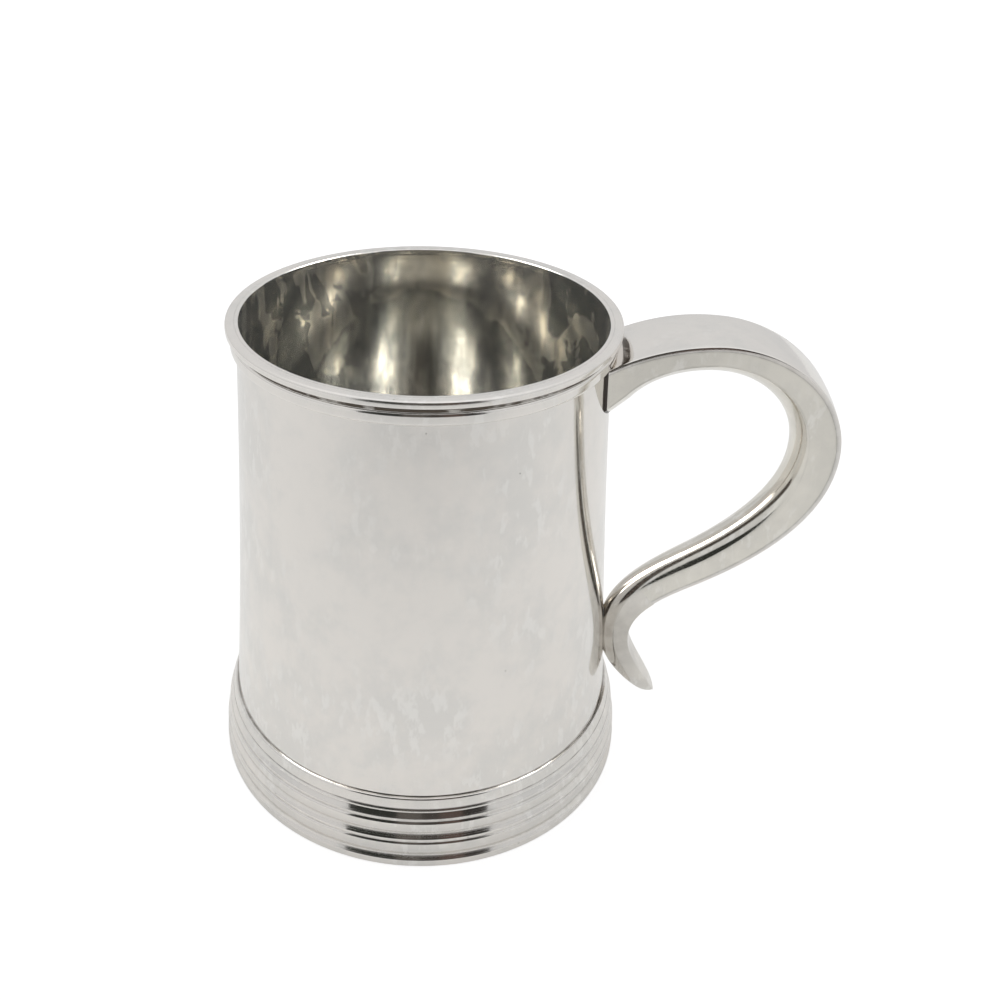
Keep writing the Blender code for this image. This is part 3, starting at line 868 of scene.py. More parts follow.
@dataclass
class RimMoulding:
    """The wire round the mouth: a flat lip over a cove and a tall rounded bead."""

    barrel: Barrel
    height: float = 0.00585
    face_height: float = 0.00165
    bead_height: float = 0.0031
    bead_round: float = 0.0009
    bead_top_angle: float = 55.0
    lip_stand: float = 0.0021
    bead_stand: float = 0.0013
    cove_stand: float = 0.0009
    edge: float = 0.0003
    face_ease: float = 0.00018
    lip_ease: float = 0.00055
    steps: int = 9

    def outline(self, grow: float) -> list[Spot]:
        """Return the outline of bead, cove and lip, and of the back against the barrel.

        Args:
            grow: a clearance by which it is swelled outwards.

        Returns:
            The spots, anticlockwise from the bead's underside.
        """
        top = self.barrel.height
        foot = top - self.height
        top_radius = self.barrel.top_radius
        middle = top_radius + self.bead_stand - self.bead_round + grow
        radii = (self.bead_round, self.bead_round + grow)
        low = arc((middle, foot + self.bead_round), radii, -90, 0, self.steps)
        # The bead's underside, the cove and the back against the barrel keep grime and painted shade.
        low[0] = low[0]._replace(recess=1.0)
        low[1] = low[1]._replace(recess=0.6)
        body = [Spot(middle + self.bead_round, foot + self.bead_height / 2)]
        bead_centre = (middle, foot + self.bead_height - self.bead_round)
        high = arc(bead_centre, radii, 0, self.bead_top_angle, self.steps)
        cove_bottom = foot + self.bead_height
        cove_top = top - self.face_height
        outer = top_radius + self.lip_stand + grow
        cove = []
        for step in range(self.steps + 1):
            angle = step / self.steps * math.pi / 2
            flare = (1 - math.cos(angle)) * (self.lip_stand - self.cove_stand - self.edge)
            height = cove_bottom + (cove_top - grow - cove_bottom) * math.sin(angle)
            cove.append(Spot(top_radius + self.cove_stand + grow + flare, height, recess=0.9))
        face = [
            Spot(outer, cove_top + self.edge / 2 - grow, ease=self.face_ease),
            Spot(outer, top - self.face_height / 2),
            Spot(outer, top + grow, ease=self.lip_ease),
            Spot(top_radius + self.lip_stand / 2, top + grow),
        ]
        inner = top_radius + SEAM
        back = [Spot(inner, top + grow), Spot(inner, foot - grow, recess=0.8)]
        return low + body + high + cove + face + back

    def build(self, axis: float) -> bpy.types.Object:
        """Return the rim moulding."""
        return finished("rim_wire", spun(self.outline(0.0), self.barrel.segments), axis)

    def dress(self, item: bpy.types.Object, effects: Effects, axis: float) -> None:
        """Give the rim its turned polish."""
        # The rim's recesses carry more grime and painted shade than elsewhere.
        worked = {"grime_and_shade_amount": 1.7, "marks": Marks.TURNED}
        wear(item, effects, axis, SilverFinish("rim_silver", roughness=0.09, scratch=0.18, **worked))


@dataclass
class FootMoulding:
    """The foot: a plain band and three reeds, each flared out to the fillet or plinth under it."""

    barrel: Barrel
    height: float = 0.0194
    base_stand: float = 0.00225
    top_stand: float = 0.0009
    swell: float = 0.0008
    plinth: float = 0.0019
    fillet_height: float = 0.0007
    fillet_depth: float = 0.0002
    shares: tuple[float, ...] = (1.12, 1.0, 1.0)
    flare_height: float = 0.0015
    flare_power: float = 1.25
    flare_dirt_and_shade: float = 0.5
    hollow_depth: float = 0.00075
    shoulder_height: float = 0.0007
    shoulder_depth: float = 0.00035
    shoulder_power: float = 1.75
    band_height: float = 0.0026
    band_depth: float = 0.00025
    band_reed_depth: float = 0.00012
    band_flare_depth: float = 0.00072
    edge: float = 0.0003
    top_edge: float = 0.0004
    steps: int = 10
    back_steps: int = 8

    @property
    def base_radius(self) -> float:
        """The radius of the plinth's lower edge."""
        return self.barrel.base_radius + self.base_stand

    def line(self, height: float) -> float:
        """Return the radius of the smooth line that the reeds touch.

        Args:
            height: the height above the foot's underside.

        Returns:
            The radius.
        """
        base = self.base_radius
        top = self.barrel.outside(self.height) + self.top_stand
        share = height / self.height
        return base + (top - base) * share + 4 * self.swell * share * (1 - share)

    def reed(
        self, level: float, high: float, foot_depth: float, crest: float, hollow: float, top: float
    ) -> list[Spot]:
        """Return a reed's spots from its flare up over its round body to its shoulder.

        Args:
            level: the height at which its flare starts.
            high: the height at which its shoulder ends.
            foot_depth: how far the flare's lower edge lies inside the line.
            crest: how far its fullest part lies inside the line.
            hollow: how far the top of the flare lies inside the line.
            top: how far the shoulder's end lies inside the line.

        Returns:
            The spots in rising order.
        """
        spots = []
        for step in range(self.steps + 1):
            down = 1 - step / self.steps
            place = level + self.flare_height * (1 - down)
            drop = hollow - (hollow - foot_depth) * down**self.flare_power
            spots.append(Spot(self.line(place) - drop, place, self.flare_dirt_and_shade * (1 - down) ** 6))
        face_start = level + self.flare_height
        face_end = high - self.shoulder_height
        for step in range(1, self.steps + 1):
            down = 1 - step / self.steps
            place = face_start + (face_end - face_start) * (1 - down)
            drop = crest + (hollow - crest) * down**2
            spots.append(Spot(self.line(place) - drop, place))
        for step in range(1, self.steps + 1):
            share = step / self.steps
            place = face_end + self.shoulder_height * share
            drop = crest + (top - crest) * share**self.shoulder_power
            spots.append(Spot(self.line(place) - drop, place, share**8))
        return spots

    def outline(self) -> list[Spot]:
        """Return the outline: plinth, then reeds and fillets, then the band under the body."""
        spots = [Spot(self.base_radius, 0.0, ease=self.edge)]
        room = self.height - self.plinth - self.fillet_height * (len(self.shares) - 1)
        level = self.plinth
        foot_depth = 0.0
        for number, share in enumerate(self.shares):
            high = level + room * share / sum(self.shares)
            if number < len(self.shares) - 1:
                depths = (foot_depth, 0.0, self.hollow_depth, self.shoulder_depth)
                spots += self.reed(level, high, *depths)
                foot_depth = self.fillet_depth
                spots.append(Spot(self.line(high) - foot_depth, high, recess=0.6))
                level = high + self.fillet_height
                continue
            high -= self.band_height
            depths = (foot_depth, self.band_reed_depth, self.band_flare_depth, self.band_depth)
            spots += self.reed(level, high, *depths)
            for step in range(1, self.steps + 1):
                place = high + self.band_height * step / self.steps
                ease = self.top_edge if step == self.steps else 0.0
                spots.append(Spot(self.line(place) - self.band_depth, place, ease=ease))
        return spots

    def build(self, axis: float) -> bpy.types.Object:
        """Build the foot moulding, fitted round the barrel's skirt.

        Args:
            axis: the X of the barrel's axis.

        Returns:
            The foot.
        """
        back = []
        for step in range(self.back_steps + 1):
            height = self.height * (1 - step / self.back_steps)
            # The top of the back, where the foot meets the barrel, keeps dirt and painted shade.
            dirt_and_shade = 0.0 if step else 0.9
            back.append(Spot(self.barrel.outside(height) + SEAM, height, dirt_and_shade))
        return finished("foot_band", spun(self.outline() + back, self.barrel.segments), axis)

    def dress(self, item: bpy.types.Object, effects: Effects, axis: float) -> None:
        """Give the foot its polish, dark in the grooves with grime and painted shade."""
        tones = {"warm": (0.83, 0.80, 0.765), "cool": (0.755, 0.74, 0.715), "marks": Marks.TURNED}
        wear(item, effects, axis, SilverFinish("foot_silver", roughness=0.08, scratch=0.14, **tones))


# Handle


@dataclass
class Station:
    """A named place on the handle: where its outer face passes and the D section there."""

    reach: float
    height: float
    heading: float
    width: float
    side: float
    belly: float
    power: float

    def place(self) -> Vector:
        """Return the point of the outer face."""
        return Vector((self.reach, self.height))

    def direction(self) -> Vector:
        """Return the unit vector along which the outer face runs."""
        return Vector((math.cos(math.radians(self.heading)), math.sin(math.radians(self.heading))))


class Mark(NamedTuple):
    """A point of a section: place across, depth under the face, dirt and painted shade kept and rounding.
    """

    across: float
    depth: float
    recess: float = 0.0
    ease: float = 0.0


@dataclass
class Section:
    """The D section cut square across the handle at one point of its outer face."""

    origin: Vector
    along: Vector
    width: float
    side: float
    belly: float
    power: float

    def point(self, mark: Mark) -> Vector:
        """Return the place of a mark, about the barrel's axis.

        Args:
            mark: the mark on this section.

        Returns:
            Its place.
        """
        inward = Vector((self.along.y, -self.along.x))
        flat = self.origin + inward * mark.depth
        return Vector((flat.x, mark.across, flat.y))

    def shifted(self, distance: float) -> Section:
        """Return the same section moved straight along the handle."""
        return replace(self, origin=self.origin + self.along * distance)


@dataclass
class HandleShape:
    """The sizes of the hollow scroll handle and the curves through its stations."""

    barrel: Barrel
    stations: list[Station] = field(init=False)
    joint_width: float = 0.0208
    joint_flare: float = 0.0008
    flare_power: float = 4.0
    joint_dip: float = 0.0028
    back_flare: float = 0.0060
    joint_length: float = 0.0237
    flare_steps: int = 8
    arm_height: float = 0.0554
    arm_stand: float = 0.02245
    heel_height: float = 0.0370
    heel_seat: float = 0.0012
    heel_side: float = 0.0026
    heel_belly: float = 0.0048
    crown: float = 0.0004
    edge: float = 0.0003
    crease_ease: float = 0.00022
    crease_dirt_and_shade: float = 0.55
    rub_width: float = 0.0006
    strap: float = 0.0010
    channel_wall: float = 0.0009
    end_plate: float = 0.0005
    terminal_start: float = 0.0480
    spigot: float = 0.0030
    vent_diameter: float = 0.0016
    vent_place: float = 0.45
    vent_depth: float = 0.0103
    span_steps: int = 44
    tip_steps: int = 12
    belly_steps: int = 30
    strap_steps: int = 12
    halvings: int = 30

    def __post_init__(self) -> None:
        """Set the six stations, the lower ones by their stand from the barrel's side."""
        arm = self.barrel.outside(self.arm_height) + self.arm_stand
        heel = self.barrel.outside(self.heel_height) - self.heel_seat + self.heel_side + self.heel_belly
        top = self.barrel.top_radius
        self.stations = [
            Station(top, 0.1140, 29.0, self.joint_width, 0.0063, 0.0040, 2.0),
            Station(0.0645, 0.1200, 0.0, 0.0178, 0.0045, 0.0038, 2.0),
            Station(0.0939, 0.0925, -90.0, 0.0117, 0.0070, 0.0032, 1.5),
            Station(arm, self.arm_height, -145.0, 0.0096, 0.0041, 0.0047, 1.0),
            Station(heel, self.heel_height, -90.0, 0.0082, self.heel_side, self.heel_belly, 1.0),
            Station(0.0627, 0.0170, -68.0, 0.0014, 0.0005, 0.0008, 1.0),
        ]

    @property
    def spans(self) -> int:
        """How many spans the stations bound, which is the tip's position too."""
        return len(self.stations) - 1

    def span_point(self, number: int, share: float) -> tuple[Vector, Vector]:
        """Return a point of the arc-like cubic that starts at a station.

        Args:
            number: the station's number.
            share: how far along the span, from 0 to 1.

        Returns:
            The place and the direction there.
        """
        start, end = self.stations[number], self.stations[number + 1]
        turn = math.radians(abs(end.heading - start.heading))
        lead = (end.place() - start.place()).length / (3 * math.cos(turn / 4) ** 2)
        knots = [
            start.place(),
            start.place() + start.direction() * lead,
            end.place() - end.direction() * lead,
            end.place(),
        ]
        rest = 1 - share
        place = (
            knots[0] * rest**3
            + knots[1] * 3 * rest**2 * share
            + knots[2] * 3 * rest * share**2
            + knots[3] * share**3
        )
        slope = (
            (knots[1] - knots[0]) * rest**2
            + (knots[2] - knots[1]) * 2 * rest * share
            + (knots[3] - knots[2]) * share**2
        )
        return place, slope.normalized()

    @staticmethod
    def eased(values: list[float], number: int, share: float) -> float:
        """Blend from one station's value to the next, with slopes that the neighbours agree on.

        Args:
            values: the stations' values.
            number: the number of the station before.
            share: how far along the span, from 0 to 1.

        Returns:
            The value there.
        """
        low, high = values[number], values[number + 1]
        slope_in = (high - values[number - 1]) / 2 if number else high - low
        slope_out = (values[number + 2] - low) / 2 if number + 2 < len(values) else high - low
        rest = 1 - share
        return (
            low * rest**2 * (1 + 2 * share)
            + high * share**2 * (3 - 2 * share)
            + slope_in * share * rest**2
            - slope_out * share**2 * rest
        )

    def section(self, position: float) -> Section:
        """Return the section at a position.

        Args:
            position: a number whose whole part is the span's and the rest the share along it.

        Returns:
            The section.
        """
        number = min(int(position), self.spans - 1)
        share = position - number
        place, along = self.span_point(number, share)
        sizes = {}
        for size in ("width", "side", "belly", "power"):
            values = [getattr(station, size) for station in self.stations]
            if number == self.spans - 1:
                narrowed = math.sqrt(max(0.0, 1 - share**2))
                sizes[size] = values[-1] + (values[-2] - values[-1]) * narrowed
            else:
                sizes[size] = self.eased(values[:-1], number, share)
        if number == 0:
            sizes["side"] += self.flare(share)
        return Section(place, along, **sizes)

    def terminal_position(self) -> float:
        """Return the position on the lower arm at which the solid terminal starts."""
        low, high = 2.0, 4.0
        for _ in range(self.halvings):
            middle = (low + high) / 2
            if self.section(middle).origin.y > self.terminal_start:
                low = middle
            else:
                high = middle
        return low

    def run(self, first: float, last: float) -> list[Section]:
        """Return the sections between two positions, closer together towards the tip.

        Args:
            first: the first section's position.
            last: the last section's position.

        Returns:
            The sections, both ends included.
        """
        positions = [step / self.span_steps for step in range(1, self.span_steps * self.spans)]
        tip = self.spans - 1 + (1 - 1 / self.span_steps)
        for step in range(1, self.tip_steps):
            positions.append(tip + (1 - (1 - step / self.tip_steps) ** 2) / self.span_steps)
        apart = 0.2 / self.span_steps
        kept = sorted(place for place in positions if first + apart < place < last - apart / 20)
        return [self.section(position) for position in [first] + kept + [last]]

    def flare(self, share: float) -> float:
        """Return how much deeper the sides are at a share of the first span."""
        dip = self.joint_dip * share * (1 - share) ** 2
        return self.joint_flare * (1 - share) ** self.flare_power - dip

    def backed(self, run: list[Section]) -> list[Section]:
        """Carry a run that starts at the upper joint straight back into the barrel.

        Args:
            run: the sections from the joint on.

        Returns:
            The run with sections in front of it, whose sides spread down.
        """
        widening = self.joint_width - self.stations[1].width
        spread = []
        for step in range(self.flare_steps, 0, -1):
            share = self.joint_width / 2 / self.joint_length * step / self.flare_steps
            section = run[0].shifted(-share * self.joint_length)
            side = run[0].side + self.back_flare * share
            spread.append(replace(section, side=side, width=self.joint_width + widening * share))
        return spread + run

    def belly_line(self, section: Section, inset: float) -> list[Mark]:
        """Return the belly's marks from one side to the other.

        Args:
            section: the section.
            inset: how far the line is drawn in, by a wall.

        Returns:
            The marks, darkened with dirt and painted shade and rounded at the outer line's two creases.
        """
        half = section.width / 2 - inset
        marks = []
        for step in range(self.belly_steps + 1):
            angle = math.pi * step / self.belly_steps
            depth = section.side - inset + section.belly * math.sin(angle) ** section.power
            corner = step in (0, self.belly_steps) and not inset
            dirt_and_shade = self.crease_dirt_and_shade * (section.power - 1) if corner else 0.0
            marks.append(Mark(-half * math.cos(angle), depth, dirt_and_shade, self.crease_ease if corner else 0.0))
        return marks

    def face_line(self, section: Section, half: float) -> list[Mark]:
        """Return the crowned outer face's marks from one rounded edge to the other.

        Args:
            section: the section.
            half: half the width of the face.

        Returns:
            The marks.
        """
        marks = []
        rise = self.crown * section.width / self.joint_width
        for step in range(self.strap_steps + 1):
            across = 1 - 2 * step / self.strap_steps
            ease = self.edge if step in (0, self.strap_steps) else 0.0
            marks.append(Mark(half * across, -rise * (1 - across**2), ease=ease))
        return marks

    def strap_ring(self, section: Section) -> list[Mark]:
        """Return the ring of the flat outer plate.

        Args:
            section: the section.

        Returns:
            The marks, round the face and back along the underside.
        """
        half = section.width / 2
        edges = [Mark(-half, self.strap, recess=0.5), Mark(half, self.strap, recess=0.5)]
        return self.face_line(section, half) + edges

    def flank(self, section: Section, start: float) -> list[Mark]:
        """Return the left side's clean marks, between the dirt and painted shade at its upper edge and at
        the crease.

        Args:
            section: the section.
            start: the depth at which the side starts.

        Returns:
            The two marks.
        """
        rub = min(self.rub_width, (section.side - start) / 4)
        half = section.width / 2
        return [Mark(-half, start + rub), Mark(-half, section.side - rub)]

    def wrapped(self, section: Section, start: float) -> list[Mark]:
        """Return both sides and the belly between them, below a depth.

        Args:
            section: the section.
            start: the depth at which the sides start.

        Returns:
            The marks from one side to the other.
        """
        left = self.flank(section, start)
        right = [mark._replace(across=-mark.across) for mark in reversed(left)]
        return left + self.belly_line(section, 0.0) + right

    def channel_ring(self, section: Section) -> list[Mark]:
        """Return the ring of the U-shaped channel, open towards the strap.

        Args:
            section: the section.

        Returns:
            The marks, round the outside and back along the inside.
        """
        top = self.strap + SEAM
        half = section.width / 2
        wall = self.channel_wall
        sides = self.wrapped(section, top)
        outer = [Mark(-half, top, recess=0.4)] + sides + [Mark(half, top, recess=0.4)]
        inner = [Mark(-half + wall, top)] + self.belly_line(section, wall) + [Mark(half - wall, top)]
        return outer + inner[::-1]

    def solid_ring(self, section: Section) -> list[Mark]:
        """Return the ring of the whole D section."""
        return self.face_line(section, section.width / 2) + self.wrapped(section, 0.0)

    def spigot_ring(self, section: Section) -> list[Mark]:
        """Return the ring that plugs the channel's hollow.

        Args:
            section: the section.

        Returns:
            The marks.
        """
        inset = self.channel_wall + SEAM
        top = self.strap + SEAM
        line = [Mark(mark.across, top) for mark in self.face_line(section, section.width / 2 - inset)]
        return line + self.belly_line(section, inset)


def lofted(sections: list[Section], ring: Callable[[Section], list[Mark]]) -> bmesh.types.BMesh:
    """Draw a ring along the sections by extruding it from one to the next.

    Args:
        sections: the sections in order.
        ring: gives the marks of the ring at a section.

    Returns:
        The closed bmesh, its long edges rounded as the marks ask, with a recess on every point.
    """
    shape = bmesh.new()
    recess = shape.verts.layers.float.new("recess")
    points = [shape.verts.new(sections[0].point(mark)) for mark in ring(sections[0])]
    edges = [shape.edges.new(pair) for pair in zip(points, points[1:] + points[:1])]
    shape.faces.new(points)
    long_edges: dict[float, list[bmesh.types.BMEdge]] = {}
    for number, section in enumerate(sections):
        marks = ring(section)
        if number:
            drawn = bmesh.ops.extrude_edge_only(shape, edges=edges)["geom"]
            fresh = {tuple(item.co): item for item in drawn if isinstance(item, bmesh.types.BMVert)}
            moved = [fresh[tuple(point.co)] for point in points]
            for old, new, mark in zip(points, moved, marks):
                if mark.ease:
                    long_edges.setdefault(mark.ease, []).append(shape.edges.get((old, new)))
            points = moved
            edges = [shape.edges.get(pair) for pair in zip(points, points[1:] + points[:1])]
        for point, mark in zip(points, marks):
            point.co = section.point(mark)
            point[recess] = mark.recess
    shape.faces.new(points)
    for size, chosen in sorted(long_edges.items()):
        rounded(shape, [item for item in chosen if item.is_valid], size, 4)
    return shape


@dataclass
class Handle:
    """The hollow scroll handle: strap, channel, end plate and solid terminal."""

    barrel: Barrel
    rim: RimMoulding
    shape: HandleShape = field(init=False)
    shade_stand: float = 0.0482
    drill_sides: int = 32

    def __post_init__(self) -> None:
        """Shape the handle to its barrel."""
        self.shape = HandleShape(self.barrel)

    def plug(self, grow: float, below_rim: bool, axis: float) -> bpy.types.Object:
        """Make a solid of the barrel that trims the handle.

        Args:
            grow: how far it is swelled.
            below_rim: end it under the rim, and leave the rim's own outline out.
            axis: the X of the barrel's axis.

        Returns:
            The solid.
        """
        spots = [Spot(0.0, self.barrel.lift)]
        spots += [Spot(self.barrel.outside(height) + grow, height) for height in self.barrel.heights()[:-1]]
        limit = self.barrel.top_radius + grow
        if below_rim:
            brim = self.barrel.height - self.rim.height - 2 * SEAM
            spots += [Spot(limit, brim), Spot(0.0, brim)]
        else:
            outline = self.rim.outline(SEAM)[:-2]
            spots += [Spot(max(spot.radius, limit), spot.height) for spot in outline]
            spots.append(Spot(0.0, self.barrel.height + SEAM))
        return finished("plug", spun(spots, self.barrel.segments, closed=False), axis)

    def vent_drill(self, axis: float) -> bpy.types.Object:
        """Make the rod that drills the vent through the channel's belly.

        Args:
            axis: the X of the barrel's axis.

        Returns:
            The rod.
        """
        shape = bmesh.new()
        section = self.shape.section(self.shape.vent_place)
        radius = self.shape.vent_diameter / 2
        bmesh.ops.create_cone(
            shape,
            cap_ends=True,
            segments=self.drill_sides,
            radius1=radius,
            radius2=radius,
            depth=self.shape.vent_depth,
        )
        place = section.point(Mark(0.0, section.side + section.belly))
        bmesh.ops.translate(shape, verts=shape.verts, vec=place)
        return finished("drill", shape, axis)

    @staticmethod
    def cut(item: bpy.types.Object, tool: bpy.types.Object, operation: str = "DIFFERENCE") -> None:
        """Cut an object with another by an exact Boolean and keep the result as its mesh.

        Args:
            item: the object that is cut.
            tool: the object that cuts it.
            operation: the Boolean's operation.
        """
        modifier = item.modifiers.new("cut", "BOOLEAN")
        modifier.operation = operation
        modifier.solver = "EXACT"
        modifier.object = tool
        bpy.context.view_layer.update()
        live = item.evaluated_get(bpy.context.evaluated_depsgraph_get())
        mesh = bpy.data.meshes.new_from_object(live)
        item.modifiers.clear()
        item.data = mesh

    def build(self, axis: float) -> dict[str, bpy.types.Object]:
        """Build the four pieces, trimmed to the barrel.

        Args:
            axis: the X of the barrel's axis.

        Returns:
            The pieces by their node's name.
        """
        shape = self.shape
        start = shape.terminal_position()
        hollow = shape.backed(shape.run(0.0, start))
        stub = shape.backed(shape.run(0.0, 1.0))
        solid = shape.run(start, float(shape.spans))
        root = solid[0].shifted(SEAM / 6)
        strap = finished("handle_plate", lofted(hollow, shape.strap_ring), axis)
        channel = finished("handle_gutter", lofted(hollow, shape.channel_ring), axis)
        plate = finished("joint_plate", lofted(stub, shape.solid_ring), axis)
        peg_run = [root.shifted(-shape.spigot), root.shifted(shape.spigot / 10)]
        tongue = finished("tongue", lofted([root] + solid[1:], shape.solid_ring), axis)
        peg = finished("peg", lofted(peg_run, shape.spigot_ring), axis)
        wall = self.plug(SEAM, False, axis)
        outer = self.plug(SEAM + shape.end_plate, True, axis)
        whole = self.plug(SEAM + shape.end_plate + SEAM, False, axis)
        drill = self.vent_drill(axis)
        self.cut(tongue, peg, "UNION")
        self.cut(strap, whole)
        self.cut(channel, whole)
        self.cut(channel, drill)
        self.cut(plate, outer, "INTERSECT")
        self.cut(plate, wall)
        self.cut(tongue, wall)
        for tool in (wall, outer, whole, drill, peg):
            bpy.data.objects.remove(tool)
        pieces = {
            "handle_strap": strap,
            "handle_channel": channel,
            "handle_end_plate": plate,
            "handle_terminal": tongue,
        }
        for item in pieces.values():
            smoothed(item)
        return pieces

    def dress(self, pieces: dict[str, bpy.types.Object], effects: Effects, axis: float) -> None:
        """Give each piece its own finish.

        Args:
            pieces: the pieces by their node's name.
            effects: the shared node groups.
            axis: the X of the barrel's axis.
        """
        # Painted shade: the channel and terminal darken towards the point where the heel meets the barrel.
        joint_shade = {"shade_at": (self.shade_stand, 0.0, self.shape.heel_height), "ripple": 0.003}
        body = {"warm": (0.80, 0.775, 0.715), "cool": (0.72, 0.70, 0.65), **joint_shade}
        tongue = {"warm": (0.78, 0.755, 0.71), "cool": (0.72, 0.70, 0.665), **joint_shade}
        # Painted shade: the end plate is near-black, standing in for the shade in the gap where the handle
        # meets the barrel.
        gap_shade = {"warm": (0.10, 0.09, 0.08), "cool": (0.07, 0.06, 0.055), "scuffs": 0.0}
        finishes = {
            "handle_strap": SilverFinish("strap_silver", scratch=0.12, ripple=0.004),
            "handle_channel": SilverFinish("channel_silver", roughness=0.08, **body),
            "handle_end_plate": SilverFinish("joint_silver_painted_shade", roughness=0.3, **gap_shade),
            "handle_terminal": SilverFinish("tongue_silver", roughness=0.08, shade_reach=0.017, **tongue),
        }
        for node, finish in finishes.items():
            pieces[node].data.materials.clear()
            wear(pieces[node], effects, axis, finish)


# Studio


@dataclass
class Studio:
    """A white tent, open towards the camera, over a pale table."""

    camera_place: Triple = (0.00896, -0.21800, 0.21073)
    camera_yaw: float = -0.1216
    camera_pitch: float = 0.5677
    camera_roll: float = 0.0162
    lens: float = 38.0
    sensor: float = 36.0
    shift: float = 0.0669
    nearest: float = 0.01
    farthest: float = 20.0
    tent_tones: tuple[tuple[float, float], ...] = ((0.0, 0.66), (0.5, 0.68), (0.75, 0.74), (1.0, 0.95))
    floor_radius: float = 3.0
    floor_sides: int = 96
    floor_drop: float = 0.00005
    floor_tone: Triple = (0.80, 0.80, 0.79)
    floor_tone_seen: Triple = (0.40, 0.40, 0.40)
    floor_glow_seen: float = 0.78
    # Painted light in reflections: the table glows brighter near the tankard than far from it.
    floor_glow: tuple[tuple[float, float], ...] = ((0.06, 0.20), (0.30, 0.15))
    opening_distance: float = 0.42
    opening_half_width: float = 0.285
    opening_height: float = 0.60
    opening_parts: tuple[tuple[float, float, Triple], ...] = (
        (-1.0, -0.28, (0.032, 0.034, 0.030)),
        (-0.28, 0.02, (0.115, 0.105, 0.095)),
        (0.02, 0.25, (0.060, 0.055, 0.050)),
        (0.25, 0.55, (0.105, 0.078, 0.068)),
        (0.55, 0.94, (0.036, 0.034, 0.032)),
    )
    box_distance: float = 0.90
    box_turn: float = 84.0
    box_width: float = 0.66
    box_height: float = 1.0
    box_middle: float = 0.75
    box_aim: float = 0.12
    box_energy: float = 13.0
    box_tone: Triple = (1.0, 0.985, 0.95)
    glossy_bounces: int = 12

    def camera(self) -> None:
        """Set the camera at the photograph's place and angle."""
        data = bpy.data.cameras.new("camera")
        data.lens = self.lens
        data.sensor_width = self.sensor
        data.shift_x = self.shift
        data.clip_start = self.nearest
        data.clip_end = self.farthest
        item = bpy.data.objects.new("camera", data)
        flat = Vector((math.sin(self.camera_yaw), math.cos(self.camera_yaw), 0.0))
        down = Vector((0, 0, -math.sin(self.camera_pitch)))
        ahead = flat * math.cos(self.camera_pitch) + down
        right = Vector((math.cos(self.camera_yaw), -math.sin(self.camera_yaw), 0.0))
        up = right.cross(ahead)
        rolled_right = right * math.cos(self.camera_roll) + up * math.sin(self.camera_roll)
        rolled_up = up * math.cos(self.camera_roll) - right * math.sin(self.camera_roll)
        turn = Matrix((rolled_right, rolled_up, -ahead)).transposed()
        item.matrix_world = Matrix.Translation(self.camera_place) @ turn.to_4x4()
        bpy.context.scene.collection.objects.link(item)
        bpy.context.scene.camera = item

    def world(self) -> None:
        """Light the scene from a white tent that is a little brighter overhead."""
        world = bpy.data.worlds.new("tent")
        world.use_nodes = True
        bpy.context.scene.world = world
        board = Board(world.node_tree)
        background = world.node_tree.nodes["Background"]
        z = board.split(board.add("ShaderNodeTexCoord").outputs["Generated"])[2]
        light = board.ramp(board.maths("MULTIPLY_ADD", z, 0.5, 0.5), self.tent_tones)
        seen = board.add("ShaderNodeLightPath").outputs["Is Camera Ray"]
        board.feed(background.inputs["Color"], board.blend(seen, light, (1.0, 1.0, 1.0)))
        background.inputs["Strength"].default_value = 1.0

    @staticmethod
    def staged(
        name: str, shape: bmesh.types.BMesh, finish: str
    ) -> tuple[bpy.types.Object, Board]:
        """Put up a piece of the set whose material is wired from scratch.

        Args:
            name: the name of the piece.
            shape: its bmesh, which is freed.
            finish: the name of its material.

        Returns:
            The piece, and the board of its material, which holds no shader.
        """
        item = placed(name, shape)
        material, board = blank_material(finish)
        board.tree.nodes.remove(board.tree.nodes["Principled BSDF"])
        item.data.materials.append(material)
        return item, board

    def floor(self) -> None:
        """Lay the pale table top, which the camera sees as white with a soft shadow, and which reflections
        see with a painted glow that is brighter near the tankard.
        """
        shape = bmesh.new()
        bmesh.ops.create_circle(shape, cap_ends=True, segments=self.floor_sides, radius=self.floor_radius)
        item, board = self.staged("table_top", shape, "pale_table")
        item.location.z = -self.floor_drop
        path = board.add("ShaderNodeLightPath").outputs
        tone = board.blend(path["Is Camera Ray"], self.floor_tone, self.floor_tone_seen)
        matt = board.add("ShaderNodeBsdfDiffuse", {"Color": tone}).outputs[0]
        place = {0: board.object_place()}
        away = board.add("ShaderNodeVectorMath", place, operation="LENGTH").outputs["Value"]
        through = board.maths("MAXIMUM", path["Is Glossy Ray"], path["Is Transmission Ray"])
        seen = board.times(path["Is Camera Ray"], self.floor_glow_seen)
        # Reflections see a painted glow, brighter near the tankard.
        strength = board.plus(seen, board.times(through, board.ramp(away, self.floor_glow)))
        lit = {"Color": (1.0, 1.0, 1.0, 1.0), "Strength": strength}
        glow = board.add("ShaderNodeEmission", lit).outputs[0]
        total = board.add("ShaderNodeAddShader", {0: matt, 1: glow}).outputs[0]
        board.feed(board.tree.nodes["Material Output"].inputs["Surface"], total)

    def card(self, name: str, corners: list[Vector], tone: Triple) -> None:
        """Put up a card that the camera doesn't see and that casts no shadow. Put up a
        card that only reflections see.

        Args:
            name: its name.
            corners: its four corners in order.
            tone: its colour.
        """
        shape = bmesh.new()
        shape.faces.new([shape.verts.new(corner) for corner in corners])
        item, board = self.staged(name, shape, name)
        item.visible_camera = False
        item.visible_shadow = False
        glow = board.add("ShaderNodeEmission", {"Color": tint(tone), "Strength": 1.0}).outputs[0]
        board.feed(board.tree.nodes["Material Output"].inputs["Surface"], glow)

